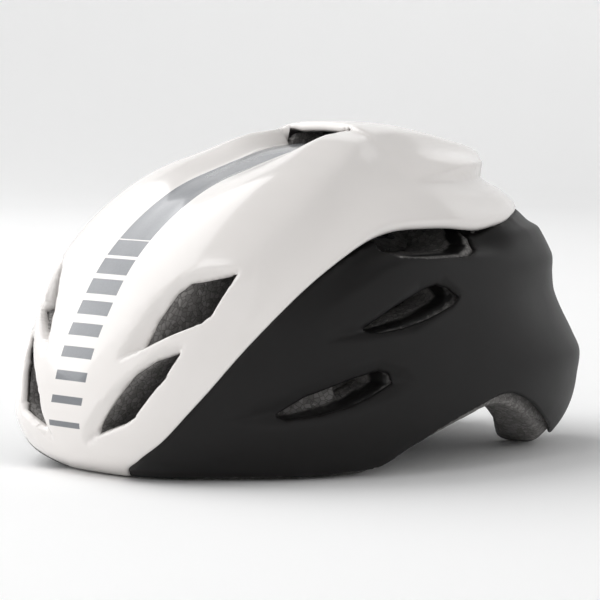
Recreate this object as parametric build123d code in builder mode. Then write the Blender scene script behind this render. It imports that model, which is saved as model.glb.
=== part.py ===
from build123d import *
import math
import os

# Road cycling helmet, size M, built in millimetres.
# +Z is up, the front of the helmet looks along -Y, +X is the wearer's left.
# The origin is in the middle of the flat plane the helmet rests on.

os.makedirs("parts", exist_ok=True)

# ---------------------------------------------------------------- dimensions
HALF_WIDTH = 104.0        # widest half width of the outside
NOSE = 139.0              # reach of the nose from the origin
TAIL = 139.0              # reach of the tail
WAIST = 33.0              # height of the widest plan section
CROWN = 150.0             # highest point
CROWN_SHIFT = 16.0        # the crown sits this far behind the middle
SKIN = 1.2                # moulded polycarbonate skin

HEAD_HALF_WIDTH = 79.0    # hollow for a 54-58 cm head
HEAD_HALF_LENGTH = 101.0
HEAD_BACK = 2.0           # the hollow sits slightly behind the middle
HEAD_TOP = 113.0
HEAD_WAIST = 20.0

WEB = 15.0                # chin webbing width
WEB_THICK = 1.5
STRAP_LEVEL = 52.0        # the straps lie folded up inside the hollow
ANCHOR_LEVEL = 55.0       # height of the strap anchors in the foam

DIAL_LEVEL = 33.0         # height of the dial axis, cradle fully up
DIAL_RADIUS = 17.0
PITCH_RADIUS = 4.0        # pinion pitch radius
TEETH = 10
PITCH = 2 * math.pi * PITCH_RADIUS / TEETH
BELT_Y = 81.0             # front face of the inner belt
BELT_THICK = 1.4
BELT_TRAVEL = 12.0


def save(builder, label):
    builder.part.label = label
    export_step(builder.part, f"parts/{label}.step")
    print(label, round(builder.part.volume / 1000, 2), "cm3", len(builder.part.solids()))


# ------------------------------------------------------- outer and inner forms
def power(value, exponent):
    return math.copysign(abs(value) ** exponent, value)


def outer_section(rise, inset):
    """Plan outline of the outside at one level; rise runs from -0.5 to 1."""
    above = rise > 0
    drop = abs(rise) ** (2.0 if above else 2.3)
    left_over = max(1.0 - drop, 0.0)
    wide = (HALF_WIDTH - inset) * left_over ** (1 / 2.15)
    nose = (NOSE - inset) * left_over ** (1 / 2.1)
    tail = (TAIL - inset) * left_over ** (1 / 2.4)
    shift = CROWN_SHIFT * rise ** 2 if above else 0.0
    points = []
    for step in range(16):
        turn = 2 * math.pi * step / 16
        reach = tail if math.sin(turn) > 0 else nose
        points.append((wide * power(math.cos(turn), 0.94),
                       shift + reach * power(math.sin(turn), 0.94)))
    return points


def head_section(rise, inset):
    """Plan outline of the head hollow; rise runs from 0 at its waist to 1."""
    left_over = max(1.0 - rise ** 2, 0.0) ** (1 / 2.1)
    points = []
    for step in range(16):
        turn = 2 * math.pi * step / 16
        points.append(((HEAD_HALF_WIDTH - inset) * left_over * power(math.cos(turn), 0.95),
                       HEAD_BACK
                       + (HEAD_HALF_LENGTH - inset) * left_over * power(math.sin(turn), 0.95)))
    return points


def outer_form(inset=0.0):
    """Whole outside volume, moved inwards by inset."""
    with BuildPart() as form:
        for rise in (-0.62, -0.4, -0.2, 0.0, 0.3, 0.55, 0.75, 0.89, 0.965, 0.9965):
            depth = 60.0 if rise < 0 else CROWN - WAIST - inset
            with BuildSketch(Plane.XY.offset(WAIST + rise * depth)):
                with BuildLine():
                    Spline(*outer_section(rise, inset), periodic=True)
                make_face()
        loft()
    return form.part


def head_form(inset=0.0):
    """Volume of the head hollow, moved inwards by inset, open downwards."""
    with BuildPart() as form:
        for level in (-12.0, 4.0, HEAD_WAIST):
            with BuildSketch(Plane.XY.offset(level)):
                with BuildLine():
                    Spline(*head_section(0.0, inset), periodic=True)
                make_face()
        for rise in (0.3, 0.55, 0.75, 0.89, 0.965, 0.9965):
            height = HEAD_TOP - HEAD_WAIST - inset
            with BuildSketch(Plane.XY.offset(HEAD_WAIST + rise * height)):
                with BuildLine():
                    Spline(*head_section(rise, inset), periodic=True)
                make_face()
        loft()
    return form.part


# ------------------------------------------------------------- cutting shapes
def rim_cutter(lift=0.0):
    """Everything below the lower edge, seen from the side."""
    with BuildPart() as cutter:
        with BuildSketch(Plane.YZ):
            with BuildLine():
                flat = Line((-170, lift * 0.2), (-36, lift * 0.2))
                arch = Spline(flat @ 1, (-10, 15.5 + lift), (33, 27.5 + lift),
                              (66, 16 + lift), (98, 1.5 + lift), (112, lift),
                              (126, 8 + lift), (160, 34 + lift))
                Polyline(arch @ 1, (160, -40), (-170, -40), flat @ 0)
            make_face()
        extrude(amount=130, both=True)
    return cutter.part


def nape_cutter(grow=0.0):
    """Arch at the back between the two rear lobes, where the dial is reached."""
    with BuildPart() as cutter:
        with BuildSketch(Plane.XZ.offset(-60)):
            with BuildLine():
                Line((-36 - grow, -20), (36 + grow, -20))
                Line((36 + grow, -20), (30 + grow, 34))
                ThreePointArc((30 + grow, 34), (0, 57 + grow), (-30 - grow, 34))
                Line((-30 - grow, 34), (-36 - grow, -20))
            make_face()
        extrude(amount=-100)
    return cutter.part


def colour_split():
    """Everything the white upper skin covers: above and in front of the split."""
    with BuildPart() as cutter:
        with BuildSketch(Plane.YZ):
            with BuildLine():
                split = Spline((-112, -30), (-113, 30), (-95, 59), (-71, 80),
                               (-26, 103), (11, 107), (60, 104), (104, 108), (160, 112))
                Polyline(split @ 1, (160, 190), (-180, 190), (-180, -30), split @ 0)
            make_face()
        extrude(amount=130, both=True)
    return cutter.part


def vent_outline(points, plane, depth, round_by):
    """One vent as a straight-walled cutter with rounded corners."""
    with BuildPart() as cutter:
        with BuildSketch(plane):
            with BuildLine():
                Polyline(*points, close=True)
            make_face()
            fillet(vertices(), round_by)
        extrude(amount=depth)
    return cutter.part


SIDE_PLANE = Plane.YZ.offset(24)
FRONT_PLANE = Plane.XZ.offset(40)
REAR_PLANE = Plane.XZ.offset(-32)


def vent_cutters():
    """Every air opening on the wearer's left, plus the ones on the centre line."""
    brow_high = vent_outline([(38, 54), (46, 80), (61, 87), (60, 70)], FRONT_PLANE, 120, 3)
    brow_low = vent_outline([(26, 20), (36, 36), (55, 55), (42, 26)], FRONT_PLANE, 120, 2.5)
    side_high = vent_outline([(-20, 94), (-16, 103), (32, 105), (36, 97), (8, 93)],
                             SIDE_PLANE, 100, 2.5)
    side_mid = vent_outline([(-46, 62), (-4, 82), (8, 77), (-20, 64)], SIDE_PLANE, 100, 3)
    side_low = vent_outline([(-87, 26), (-60, 38), (-36, 44), (-34, 38), (-60, 27)],
                            SIDE_PLANE, 100, 2.5)
    rear_high = vent_outline([(10, 96), (12, 112), (36, 108), (44, 94)], REAR_PLANE, -120, 3.5)
    rear_low = vent_outline([(34, 64), (33, 84), (54, 82), (60, 68)], REAR_PLANE, -120, 3.5)
    return [brow_high, brow_low, side_high, side_mid, side_low, rear_high, rear_low]


def crown_cutter():
    """The shallow scoop in the crown with the centre vent at its end."""
    with BuildPart() as cutter:
        with BuildSketch(Plane.XY.offset(96)):
            with Locations((0, 26)):
                RectangleRounded(34, 30, 8)
        extrude(amount=60)
    return cutter.part


print("forms")
OUTSIDE = outer_form()
INSIDE_SKIN = outer_form(SKIN)
HOLLOW = head_form()
VENTS = vent_cutters() + [crown_cutter()]


# ------------------------------------------------------------------ the shells
def both_sides(half):
    """Joins the wearer's left half with its mirror image."""
    with BuildPart() as whole:
        add(half.part)
        mirror(half.part, about=Plane.YZ)
    return whole


def make_shell(keep_upper):
    """One of the two in-moulded skins, with its vents opened."""
    with BuildPart() as half:
        add(OUTSIDE)
        add(INSIDE_SKIN, mode=Mode.SUBTRACT)
        with Locations((100, 0, 60)):
            Box(200, 400, 300, mode=Mode.INTERSECT)
        split = colour_split()
        add(split, mode=Mode.INTERSECT if keep_upper else Mode.SUBTRACT)
        add(rim_cutter(2.5), mode=Mode.SUBTRACT)
        add(nape_cutter(1.5), mode=Mode.SUBTRACT)
        for vent in VENTS:
            add(vent, mode=Mode.SUBTRACT)
    return both_sides(half)


def make_liner():
    """Expanded foam body between the skins and the head."""
    with BuildPart() as half:
        add(INSIDE_SKIN)
        with Locations((100, 0, 60)):
            Box(200, 400, 300, mode=Mode.INTERSECT)
        add(HOLLOW, mode=Mode.SUBTRACT)
        add(rim_cutter(), mode=Mode.SUBTRACT)
        add(nape_cutter(), mode=Mode.SUBTRACT)
        for vent in VENTS:
            add(vent, mode=Mode.SUBTRACT)
        # pockets for the strap anchors of this side
        for along in (-38, 42):
            with Locations(Location((71, along, ANCHOR_LEVEL), (0, 90, 0))):
                Cylinder(8.2, 16, mode=Mode.SUBTRACT)
        # socket of the height rail
        with Locations(Location((0, 88, 74), (90, 0, 0))):
            Cylinder(4.2, 24, mode=Mode.SUBTRACT)
    return both_sides(half)


upper_shell = make_shell(True)
save(upper_shell, "upper_shell")
lower_shell = make_shell(False)
save(lower_shell, "lower_shell")
eps_liner = make_liner()
save(eps_liner, "eps_liner")


# ------------------------------------------------------------- comfort padding
def padding(outline_builder, near=1.2, thick=5.0):
    """A cushion lying on the wall of the hollow inside one outline."""
    with BuildPart() as pad:
        add(head_form(near))
        add(head_form(near + thick), mode=Mode.SUBTRACT)
        add(outline_builder.part, mode=Mode.INTERSECT)
    return pad


def slab(plane, width, height, corner, depth):
    """Rounded block used as the outline of a cushion."""
    with BuildPart() as block:
        with BuildSketch(plane):
            RectangleRounded(width, height, corner)
        extrude(amount=depth)
    return block


brow_pad = padding(slab(Plane((0, -60, 27), x_dir=(1, 0, 0), z_dir=(0, -1, 0)), 72, 20, 8, 50))
save(brow_pad, "brow_pad")

crown_pad = padding(slab(Plane((0, -20, 80)), 26, 50, 10, 50))
save(crown_pad, "crown_pad")

for side, name in ((1, "left"), (-1, "right")):
    arm = padding(slab(Plane((side * 33, -8, 70), x_dir=(1, 0, 0), z_dir=(0, 0, 1)), 16, 74, 7, 50))
    save(arm, f"top_pad_{name}")
    side_block = slab(Plane((side * 40, 30, 75), x_dir=(0, 1, 0), z_dir=(side, 0, 0)), 40, 15, 6, 45)
    save(padding(side_block), f"side_pad_{name}")


def dot_between(spots, axis_plane):
    """Thin hook discs lying between the foam and one cushion."""
    with BuildPart() as dots:
        add(head_form(0.1))
        add(head_form(1.0), mode=Mode.SUBTRACT)
        with BuildSketch(axis_plane):
            with Locations(*spots):
                Circle(6)
        extrude(amount=70, mode=Mode.INTERSECT)
    return dots


top_dots = dot_between([(0, -34), (0, -8), (33, -34), (33, 18), (-33, -34), (-33, 18)],
                       Plane.XY.offset(70))
brow_dots = dot_between([(-24, 27), (24, 27)], Plane.XZ.offset(60))
left_dots = dot_between([(20, 75), (40, 75)], Plane.YZ.offset(40))
right_dots = mirror(left_dots.part, about=Plane.YZ)
with BuildPart() as hook_dots:
    add(top_dots.part)
    add(brow_dots.part)
    add(left_dots.part)
    add(right_dots)
save(hook_dots, "hook_dots")


# ------------------------------------------------------------ webbing harness
ANCHOR_X = 64.0           # inner face of the strap anchors
FRONT_ANCHOR_Y = -38.0
REAR_ANCHOR_Y = 42.0
DIVIDER_X = 50.0
DIVIDER_Y = 4.0

with BuildPart() as strap_anchors:
    for side in (-1, 1):
        for along in (FRONT_ANCHOR_Y, REAR_ANCHOR_Y):
            spot = (side * (ANCHOR_X + 4.0), along, ANCHOR_LEVEL)
            with Locations(Location(spot, (0, 90, 0))):
                Cylinder(7.6, 8)
save(strap_anchors, "strap_anchors")


def leg(side, along, width, thick):
    """Webbing leg from one anchor down to the divider, as a flat ribbon."""
    start = Vector(side * (DIVIDER_X + 3), DIVIDER_Y + (5 if along > 0 else -5), 0)
    end = Vector(side * (ANCHOR_X - 0.05), along, 0)
    run = (end - start).length
    plane = Plane(origin=(start.X, start.Y, STRAP_LEVEL), x_dir=(end - start).normalized(),
                  z_dir=(end - start).normalized().cross(Vector(0, 0, 1)))
    half = thick / 2
    with BuildPart() as ribbon:
        with BuildSketch(plane):
            with BuildLine():
                top = Spline((0, half), (8, half), (run * 0.6, 1.6 + half), (run, 3 + half))
                low = Spline((0, -half), (8, -half), (run * 0.6, 1.6 - half), (run, 3 - half))
                Line(top @ 0, low @ 0)
                Line(top @ 1, low @ 1)
            make_face()
        extrude(amount=width / 2, both=True)
    # the end is trimmed square to the anchor face
    with BuildPart() as trimmed:
        add(ribbon.part)
        with Locations((side * (ANCHOR_X + 10), along, ANCHOR_LEVEL)):
            Box(20, 40, 30, mode=Mode.SUBTRACT)
    return trimmed


LEG_WIDTH = 13.0
for side, name in ((1, "left"), (-1, "right")):
    save(leg(side, FRONT_ANCHOR_Y, LEG_WIDTH, WEB_THICK), f"front_strap_{name}")
    save(leg(side, REAR_ANCHOR_Y, LEG_WIDTH, WEB_THICK), f"rear_strap_{name}")


def chin_length(side, start, end, width, thick):
    """Straight chin webbing between two stations across the helmet."""
    with BuildPart() as strap:
        with Locations((side * (start + end) / 2, DIVIDER_Y, STRAP_LEVEL)):
            Box(end - start, width, thick)
    return strap


save(chin_length(1, 12, 41, WEB, WEB_THICK), "chin_strap_left")
save(chin_length(-1, 9, 41, WEB, WEB_THICK), "chin_strap_right")


def divider(side):
    """Body that gathers both legs and the chin webbing under one cam lever."""
    hinge_x = side * (DIVIDER_X - 8)
    with BuildPart() as body:
        with Locations((side * DIVIDER_X, DIVIDER_Y, STRAP_LEVEL)):
            Box(22, 30, 5)
        fillet(body.edges().filter_by(Axis.Z), 4)
        with Locations((side * 42, DIVIDER_Y, STRAP_LEVEL)):
            Box(13, WEB + 0.6, WEB_THICK + 0.6, mode=Mode.SUBTRACT)
        for along in (FRONT_ANCHOR_Y, REAR_ANCHOR_Y):
            add(leg(side, along, LEG_WIDTH + 0.6, WEB_THICK + 0.6).part, mode=Mode.SUBTRACT)
        # ears for the lever pin
        with Locations((hinge_x, DIVIDER_Y - 11, STRAP_LEVEL + 4),
                       (hinge_x, DIVIDER_Y + 11, STRAP_LEVEL + 4)):
            Box(5, 3, 5)
        with Locations(Location((hinge_x, DIVIDER_Y, STRAP_LEVEL + 4.6), (90, 0, 0))):
            Cylinder(1.05, 40, mode=Mode.SUBTRACT)
    return body


def lever(side):
    """Cam lever of the divider, closed flat on its body."""
    hinge = (side * (DIVIDER_X - 8), DIVIDER_Y, STRAP_LEVEL + 4.6)
    with BuildPart() as flap:
        with Locations(Location(hinge, (90, 0, 0))):
            Cylinder(1.0, 24.5)
            Cylinder(1.7, 18.4)
        with Locations((side * (DIVIDER_X + 1.2), DIVIDER_Y, STRAP_LEVEL + 4.2)):
            Box(17, 18.4, 1.8)
        with Locations((side * (DIVIDER_X + 9), DIVIDER_Y, STRAP_LEVEL + 4.6)):
            Box(2.4, 18.4, 2.6)
    return flap


for side, name in ((1, "left"), (-1, "right")):
    save(divider(side), f"divider_{name}")
    save(lever(side), f"divider_lever_{name}")

with BuildPart() as buckle_socket:
    with Locations((6, DIVIDER_Y, STRAP_LEVEL)):
        Box(22, 30, 9)
    fillet(buckle_socket.edges().filter_by(Axis.Z), 3)
    with Locations((14, DIVIDER_Y, STRAP_LEVEL)):
        Box(10, WEB + 0.6, WEB_THICK + 0.6, mode=Mode.SUBTRACT)
    with Locations((-0.5, DIVIDER_Y, STRAP_LEVEL)):
        Box(17, 25, 4.6, mode=Mode.SUBTRACT)
    with Locations((1, DIVIDER_Y - 14, STRAP_LEVEL), (1, DIVIDER_Y + 14, STRAP_LEVEL)):
        Box(9, 6, 4.6, mode=Mode.SUBTRACT)
save(buckle_socket, "buckle_socket")

with BuildPart() as buckle_plug:
    with Locations((-11.4, DIVIDER_Y, STRAP_LEVEL)):
        Box(10, 30, 7)
    fillet(buckle_plug.edges().filter_by(Axis.Z), 2.5)
    with Locations((-1, DIVIDER_Y - 10.4, STRAP_LEVEL), (-1, DIVIDER_Y + 10.4, STRAP_LEVEL)):
        Box(13, 3.2, 4.0)
    with Locations((-11.4, DIVIDER_Y, STRAP_LEVEL)):
        Box(12, WEB + 0.8, WEB_THICK + 0.8, mode=Mode.SUBTRACT)
save(buckle_plug, "buckle_plug")

with BuildPart() as strap_keeper:
    with Locations((27, DIVIDER_Y, STRAP_LEVEL)):
        Box(7, WEB + 4, WEB_THICK + 4)
        Box(9, WEB + 0.4, WEB_THICK + 0.4, mode=Mode.SUBTRACT)
save(strap_keeper, "strap_keeper")


# ------------------------------------------------------------ fitting cradle
RAIL_Y = 75.6
FRAME_Y = 79.0

with BuildPart() as height_rail:
    with Locations((0, RAIL_Y, 58)):
        Box(12, 2.4, 44)
    with Locations(*[(0, RAIL_Y, 42 + 7 * step) for step in range(4)]):
        Box(6, 6, 2.2, mode=Mode.SUBTRACT)
    with Locations(Location((0, RAIL_Y + 9, 74), (90, 0, 0))):
        Cylinder(4.0, 16)
save(height_rail, "height_rail")

with BuildPart() as cradle_frame:
    with BuildSketch(Plane.XZ.offset(-FRAME_Y)):
        with Locations((0, DIAL_LEVEL)):
            RectangleRounded(50, 27, 6)
        with Locations((0, 54)):
            RectangleRounded(20, 24, 3)
    extrude(amount=-1.6)
    # loop that grips the height rail
    with Locations((0, RAIL_Y + 0.2, 58)):
        Box(18, 6.8, 10)
    with Locations((0, RAIL_Y, 58)):
        Box(12.5, 2.9, 40, mode=Mode.SUBTRACT)
    # bearing of the pinion and four screw holes
    with Locations(Location((0, FRAME_Y, DIAL_LEVEL), (90, 0, 0))):
        Cylinder(2.05, 12, mode=Mode.SUBTRACT)
    for side in (-1, 1):
        for level in (-11, 11):
            with Locations(Location((side * 20, FRAME_Y, DIAL_LEVEL + level), (90, 0, 0))):
                Cylinder(1.3, 8, mode=Mode.SUBTRACT)
save(cradle_frame, "cradle_frame")

for side, name in ((1, "left"), (-1, "right")):
    with BuildPart() as nape_pad:
        with BuildSketch(Plane.XZ.offset(-(FRAME_Y - 0.1))):
            with Locations((side * 19, DIAL_LEVEL)):
                RectangleRounded(17, 15, 5)
        extrude(amount=4)
        fillet(nape_pad.faces().sort_by(Axis.Y)[0].edges(), 1.5)
    save(nape_pad, f"nape_pad_{name}")


def belt(side):
    """Fit belt: a toothed slot over the pinion, then a band towards the temple.

    The left belt has its teeth above the pinion and the right belt below it,
    so one turn of the dial draws both inwards.
    """
    y_front = BELT_Y + (0.0 if side > 0 else BELT_THICK + 0.4)
    y_back = y_front + BELT_THICK
    root = PITCH_RADIUS + 1.1
    tip = PITCH_RADIUS - 0.55
    slot_centre = DIAL_LEVEL + side * (root - 5.4) / 2
    with BuildPart() as band:
        with BuildSketch(Plane.XZ.offset(-y_front)):
            with Locations((side * 12, DIAL_LEVEL)):
                Rectangle(48.4, 16)
            with Locations((side * BELT_TRAVEL / 2, slot_centre)):
                Rectangle(BELT_TRAVEL + 13.6, root + 5.4, mode=Mode.SUBTRACT)
            for step in range(-2, 7):
                at = side * (step + 0.5) * PITCH
                with BuildLine():
                    Polyline((at - 0.95, DIAL_LEVEL + side * (root + 0.2)),
                             (at - 0.3, DIAL_LEVEL + side * tip),
                             (at + 0.3, DIAL_LEVEL + side * tip),
                             (at + 0.95, DIAL_LEVEL + side * (root + 0.2)), close=True)
                make_face()
        extrude(amount=-BELT_THICK)
        # band that follows the side of the head
        with BuildSketch(Plane.XY.offset(DIAL_LEVEL - 6)):
            with BuildLine():
                away = Spline((side * 36, y_back), (side * 50.2, 75.4), (side * 62.6, 56.6),
                              (side * 70.7, 32), (side * 73.7, 8), tangents=[(side, 0), (0, -1)])
                near = Spline((side * 36, y_front), (side * 49.3, 74.3), (side * 61.4, 55.8),
                              (side * 69.4, 31.7), (side * 72.3, 8), tangents=[(side, 0), (0, -1)])
                Line(away @ 0, near @ 0)
                Line(away @ 1, near @ 1)
            make_face()
        extrude(amount=12)
    return band


save(belt(1), "belt_left")
save(belt(-1), "belt_right")

HOUSING_Y = FRAME_Y + 1.6
KNOB_Y = 91.4
with BuildPart() as dial_housing:
    with BuildSketch(Plane.XZ.offset(-HOUSING_Y)):
        with Locations((0, DIAL_LEVEL)):
            RectangleRounded(56, 27, 6)
    extrude(amount=-10.2)
    # channel for both belts
    with Locations((0, HOUSING_Y + 2.0, DIAL_LEVEL)):
        Box(60, 4.1, 16.8, mode=Mode.SUBTRACT)
    # bearing, then the seat of the ratchet ring
    with Locations(Location((0, 86, DIAL_LEVEL), (90, 0, 0))):
        Cylinder(3.05, 20, mode=Mode.SUBTRACT)
    with Locations(Location((0, 88.8, DIAL_LEVEL), (90, 0, 0))):
        Cylinder(11.6, 5.0, mode=Mode.SUBTRACT)
    for side in (-1, 1):
        for level in (-11, 11):
            with Locations(Location((side * 20, 84, DIAL_LEVEL + level), (90, 0, 0))):
                Cylinder(1.02, 8, mode=Mode.SUBTRACT)
save(dial_housing, "dial_housing")

with BuildPart() as housing_screws:
    for side in (-1, 1):
        for level in (-11, 11):
            with Locations(Location((side * 20, 82, DIAL_LEVEL + level), (90, 0, 0))):
                Cylinder(1.0, 9)
            with Locations(Location((side * 20, FRAME_Y - 0.6, DIAL_LEVEL + level), (90, 0, 0))):
                Cylinder(1.9, 1.0)
save(housing_screws, "housing_screws")

with BuildPart() as ratchet_ring:
    with BuildSketch(Plane.XZ.offset(-86.4)):
        with Locations((0, DIAL_LEVEL)):
            Circle(11.5)
            Circle(9.6, mode=Mode.SUBTRACT)
            with PolarLocations(9.7, 30):
                Rectangle(1.0, 0.8, rotation=45, mode=Mode.SUBTRACT)
    extrude(amount=-4)
save(ratchet_ring, "ratchet_ring")


def pinion_shape():
    """Tooth outline of the small gear, a plain trapezoid per tooth."""
    Circle(PITCH_RADIUS - 1.0)
    with PolarLocations(0, TEETH):
        Polygon((PITCH_RADIUS - 1.3, -0.72), (PITCH_RADIUS, -0.46),
                (PITCH_RADIUS + 0.75, -0.22), (PITCH_RADIUS + 0.75, 0.22),
                (PITCH_RADIUS, 0.46), (PITCH_RADIUS - 1.3, 0.72), align=None)


with BuildPart() as pinion:
    with BuildSketch(Plane(origin=(0, 80.9, DIAL_LEVEL), x_dir=(0, 0, 1), z_dir=(0, 1, 0))):
        pinion_shape()
    extrude(amount=3.5)
    with Locations(Location((0, 79.4, DIAL_LEVEL), (90, 0, 0))):
        Cylinder(2.0, 3.2)
    with Locations(Location((0, 91.6, DIAL_LEVEL), (90, 0, 0))):
        Cylinder(3.0, 15)
save(pinion, "pinion")

with BuildPart() as dial_knob:
    with BuildSketch(Plane.XZ.offset(-KNOB_Y)):
        with Locations((0, DIAL_LEVEL)):
            Circle(DIAL_RADIUS - 2)
            with PolarLocations(DIAL_RADIUS + 2.6, 12):
                Circle(4.2, mode=Mode.SUBTRACT)
    extrude(amount=-9)
    # hub with two spring pawls running inside the ratchet ring
    with BuildSketch(Plane.XZ.offset(-86.8)):
        with Locations((0, DIAL_LEVEL)):
            Circle(6)
            Rectangle(18.4, 3.0)
    extrude(amount=-(KNOB_Y - 86.8 + 1))
    with Locations(Location((0, 92, DIAL_LEVEL), (90, 0, 0))):
        Cylinder(3.02, 14.4, mode=Mode.SUBTRACT)
save(dial_knob, "dial_knob")

with BuildPart() as dial_grip:
    with BuildSketch(Plane.XZ.offset(-(KNOB_Y + 1.5))):
        with Locations((0, DIAL_LEVEL)):
            Circle(DIAL_RADIUS)
            with PolarLocations(DIAL_RADIUS + 2.8, 12):
                Circle(3.4, mode=Mode.SUBTRACT)
            Circle(DIAL_RADIUS - 2, mode=Mode.SUBTRACT)
    extrude(amount=-6)
save(dial_grip, "dial_grip")

with BuildPart() as dial_cap:
    with Locations(Location((0, KNOB_Y + 9.6, DIAL_LEVEL), (90, 0, 0))):
        Cylinder(8, 1.2)
save(dial_cap, "dial_cap")
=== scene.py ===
# %% [markdown]
# # A road cycling helmet
# A road helmet is two thin moulded skins, a white one over the top and a matte
# black one around the sides, fused to a thick bead-foam liner. Inside sit pads,
# a webbing harness and a dial-driven fit cradle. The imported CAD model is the
# fixed frame: every piece below is placed in that frame, in metres.

import math

import bpy
import numpy as np
import openvdb
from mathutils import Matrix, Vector


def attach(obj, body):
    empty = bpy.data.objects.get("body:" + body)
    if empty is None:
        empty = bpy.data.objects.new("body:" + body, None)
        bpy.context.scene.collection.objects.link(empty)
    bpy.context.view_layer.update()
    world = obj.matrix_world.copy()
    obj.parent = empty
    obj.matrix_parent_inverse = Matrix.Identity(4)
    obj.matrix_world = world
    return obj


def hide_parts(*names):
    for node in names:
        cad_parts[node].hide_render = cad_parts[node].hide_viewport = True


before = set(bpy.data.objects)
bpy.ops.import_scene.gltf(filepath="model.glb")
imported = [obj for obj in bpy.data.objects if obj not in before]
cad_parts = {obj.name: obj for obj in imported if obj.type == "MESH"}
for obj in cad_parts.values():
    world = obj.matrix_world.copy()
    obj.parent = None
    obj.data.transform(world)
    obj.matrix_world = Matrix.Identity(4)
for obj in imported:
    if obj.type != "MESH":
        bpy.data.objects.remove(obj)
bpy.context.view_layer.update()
MM = 0.001

# %% [markdown]
# ## Lines that bend smoothly through stations
# Many edges of the helmet are given as stations with a smooth line through
# them. One small helper turns stations into a curve; another fades a feature
# in and out. A caution to a reader who would copy this: the stations of the
# colour line, the ridge, the valley depth, the nose, the tail and the ear
# line, and most vent and scoop outlines, were not worked out from the frame
# or from driving dimensions. A separate measuring program printed their
# numbers, and some were then adjusted by hand.

# %% Smooth lines and fades
def through(stations):
    """A smooth function of one value through (value, result) stations."""
    at = np.array([s[0] for s in stations], float)
    to = np.array([s[1] for s in stations], float)
    rise = np.diff(to) / np.diff(at)
    lean = np.zeros(len(at))
    lean[1:-1] = np.where(rise[:-1] * rise[1:] > 0, (rise[:-1] + rise[1:]) / 2, 0)
    lean[0], lean[-1] = rise[0], rise[-1]
    limit = 2.5 * np.minimum(np.abs(np.r_[rise[0], rise]), np.abs(np.r_[rise, rise[-1]]))
    lean = np.clip(lean, -limit, limit)

    def line(value):
        value = np.clip(value, at[0], at[-1])
        k = np.clip(np.searchsorted(at, value) - 1, 0, len(at) - 2)
        gap = at[k + 1] - at[k]
        s = (value - at[k]) / gap
        return ((2 * s**3 - 3 * s**2 + 1) * to[k] + (s**3 - 2 * s**2 + s) * gap * lean[k]
                + (3 * s**2 - 2 * s**3) * to[k + 1] + (s**3 - s**2) * gap * lean[k + 1])

    return line


def fade(value, start, end):
    """0 before start, 1 after end, with an eased middle."""
    s = np.clip((value - start) / (end - start), 0, 1)
    return s * s * (3 - 2 * s)


def soft_positive(value, radius):
    """max(value, 0) with the corner rounded."""
    return 0.5 * (value + np.sqrt(value * value + radius * radius))


# %% [markdown]
# ## Outlines
# Vents are drawn as outlines on a flat pattern: the side vents on a side view,
# the brow vents on a front view. The distance to an outline, negative inside,
# is all that is needed to cut a hole, to dish the skin around it and to roll
# its edge.

# %% Distance to an outline or a line
def along_segments(u, v, corners, closed):
    best = np.full(np.shape(u), 1e9)
    inside = np.zeros(np.shape(u), bool)
    count = len(corners) if closed else len(corners) - 1
    for i in range(count):
        (au, av), (bu, bv) = corners[i], corners[(i + 1) % len(corners)]
        du, dv = bu - au, bv - av
        s = np.clip(((u - au) * du + (v - av) * dv) / (du * du + dv * dv), 0, 1)
        best = np.minimum(best, np.hypot(u - au - s * du, v - av - s * dv))
        if closed:
            crosses = (av > v) != (bv > v)
            with np.errstate(divide="ignore", invalid="ignore"):
                reach = du * (v - av) / (dv if dv else 1e-9) + au
            inside ^= crosses & (u < reach)
    return best, inside


def outline(u, v, corners, rounding=0.0):
    """Distance to a closed outline, negative inside, with rounded corners."""
    best, inside = along_segments(u, v, corners, True)
    return np.where(inside, -best, best) - rounding


def chain(u, v, corners):
    """Distance to an open line."""
    return along_segments(u, v, corners, False)[0]


# %% [markdown]
# ## The hull
# The outside starts as one full form: an egg with a squarish plan, widest low
# down, its crown set behind the middle. Everything else is pushed in or out
# from it by a few millimetres. Its sizes and powers came from a fit by a
# separate program, apart from the half width, which was chosen.

# %% The full form
HALF_WIDTH, NOSE, TAIL = 104.0, 135.0, 142.0
WAIST, RISE, CROWN_BACK = 33.1, 116.0, 16.5


def hull(p):
    x, y, z = np.abs(p[..., 0]), p[..., 1], p[..., 2]
    up = np.clip((z - WAIST) / RISE, 0, 1.5)
    y = y - CROWN_BACK * np.minimum(up, 1) ** 2
    reach = np.where(y < 0, NOSE, TAIL)
    power = np.where(y < 0, 2.1, 2.39)
    under = np.clip((WAIST - z) / 60, 0, None)
    return (x / HALF_WIDTH) ** 2.33 + (np.abs(y) / reach) ** power + up**2.01 + under**2.3 - 1


def slope_of(field, p, step=0.05):
    out = np.empty(p.shape)
    for axis in range(3):
        move = np.zeros(3)
        move[axis] = step
        out[..., axis] = (field(p + move) - field(p - move)) / (2 * step)
    return out


def onto_hull(p, rounds=4):
    for _ in range(rounds):
        g = slope_of(hull, p)
        p = p - g * (hull(p) / np.maximum((g * g).sum(-1), 1e-12))[..., None]
    return p


def hull_normal(p):
    g = slope_of(hull, p)
    return g / np.linalg.norm(g, axis=-1, keepdims=True)


# %% [markdown]
# ## Where white meets black
# The colour line runs up from the chin of the nose, sweeps back along the side
# and lifts to a point near the tail. It is written as a height for each
# direction around the helmet, in degrees from the nose.

# %% The colour line and the ridge
colour_height = through([(8, -12), (13.6, 4), (20, 12), (27.4, 21), (35, 37), (44.8, 61), (54.9, 81.5),
                         (63.6, 94), (74.8, 104.5), (86, 107.6), (97, 107.2), (107, 105.5),
                         (116, 107), (122, 108.2), (130, 110.7), (145, 113), (165, 110), (180, 108)])


def heading(p):
    """Degrees around the helmet: 0 at the nose, 90 at the side, 180 behind."""
    y = p[..., 1]
    return np.degrees(np.arctan2(np.abs(p[..., 0]) / HALF_WIDTH,
                                 -y / np.where(y < 0, NOSE, TAIL)))


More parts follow.
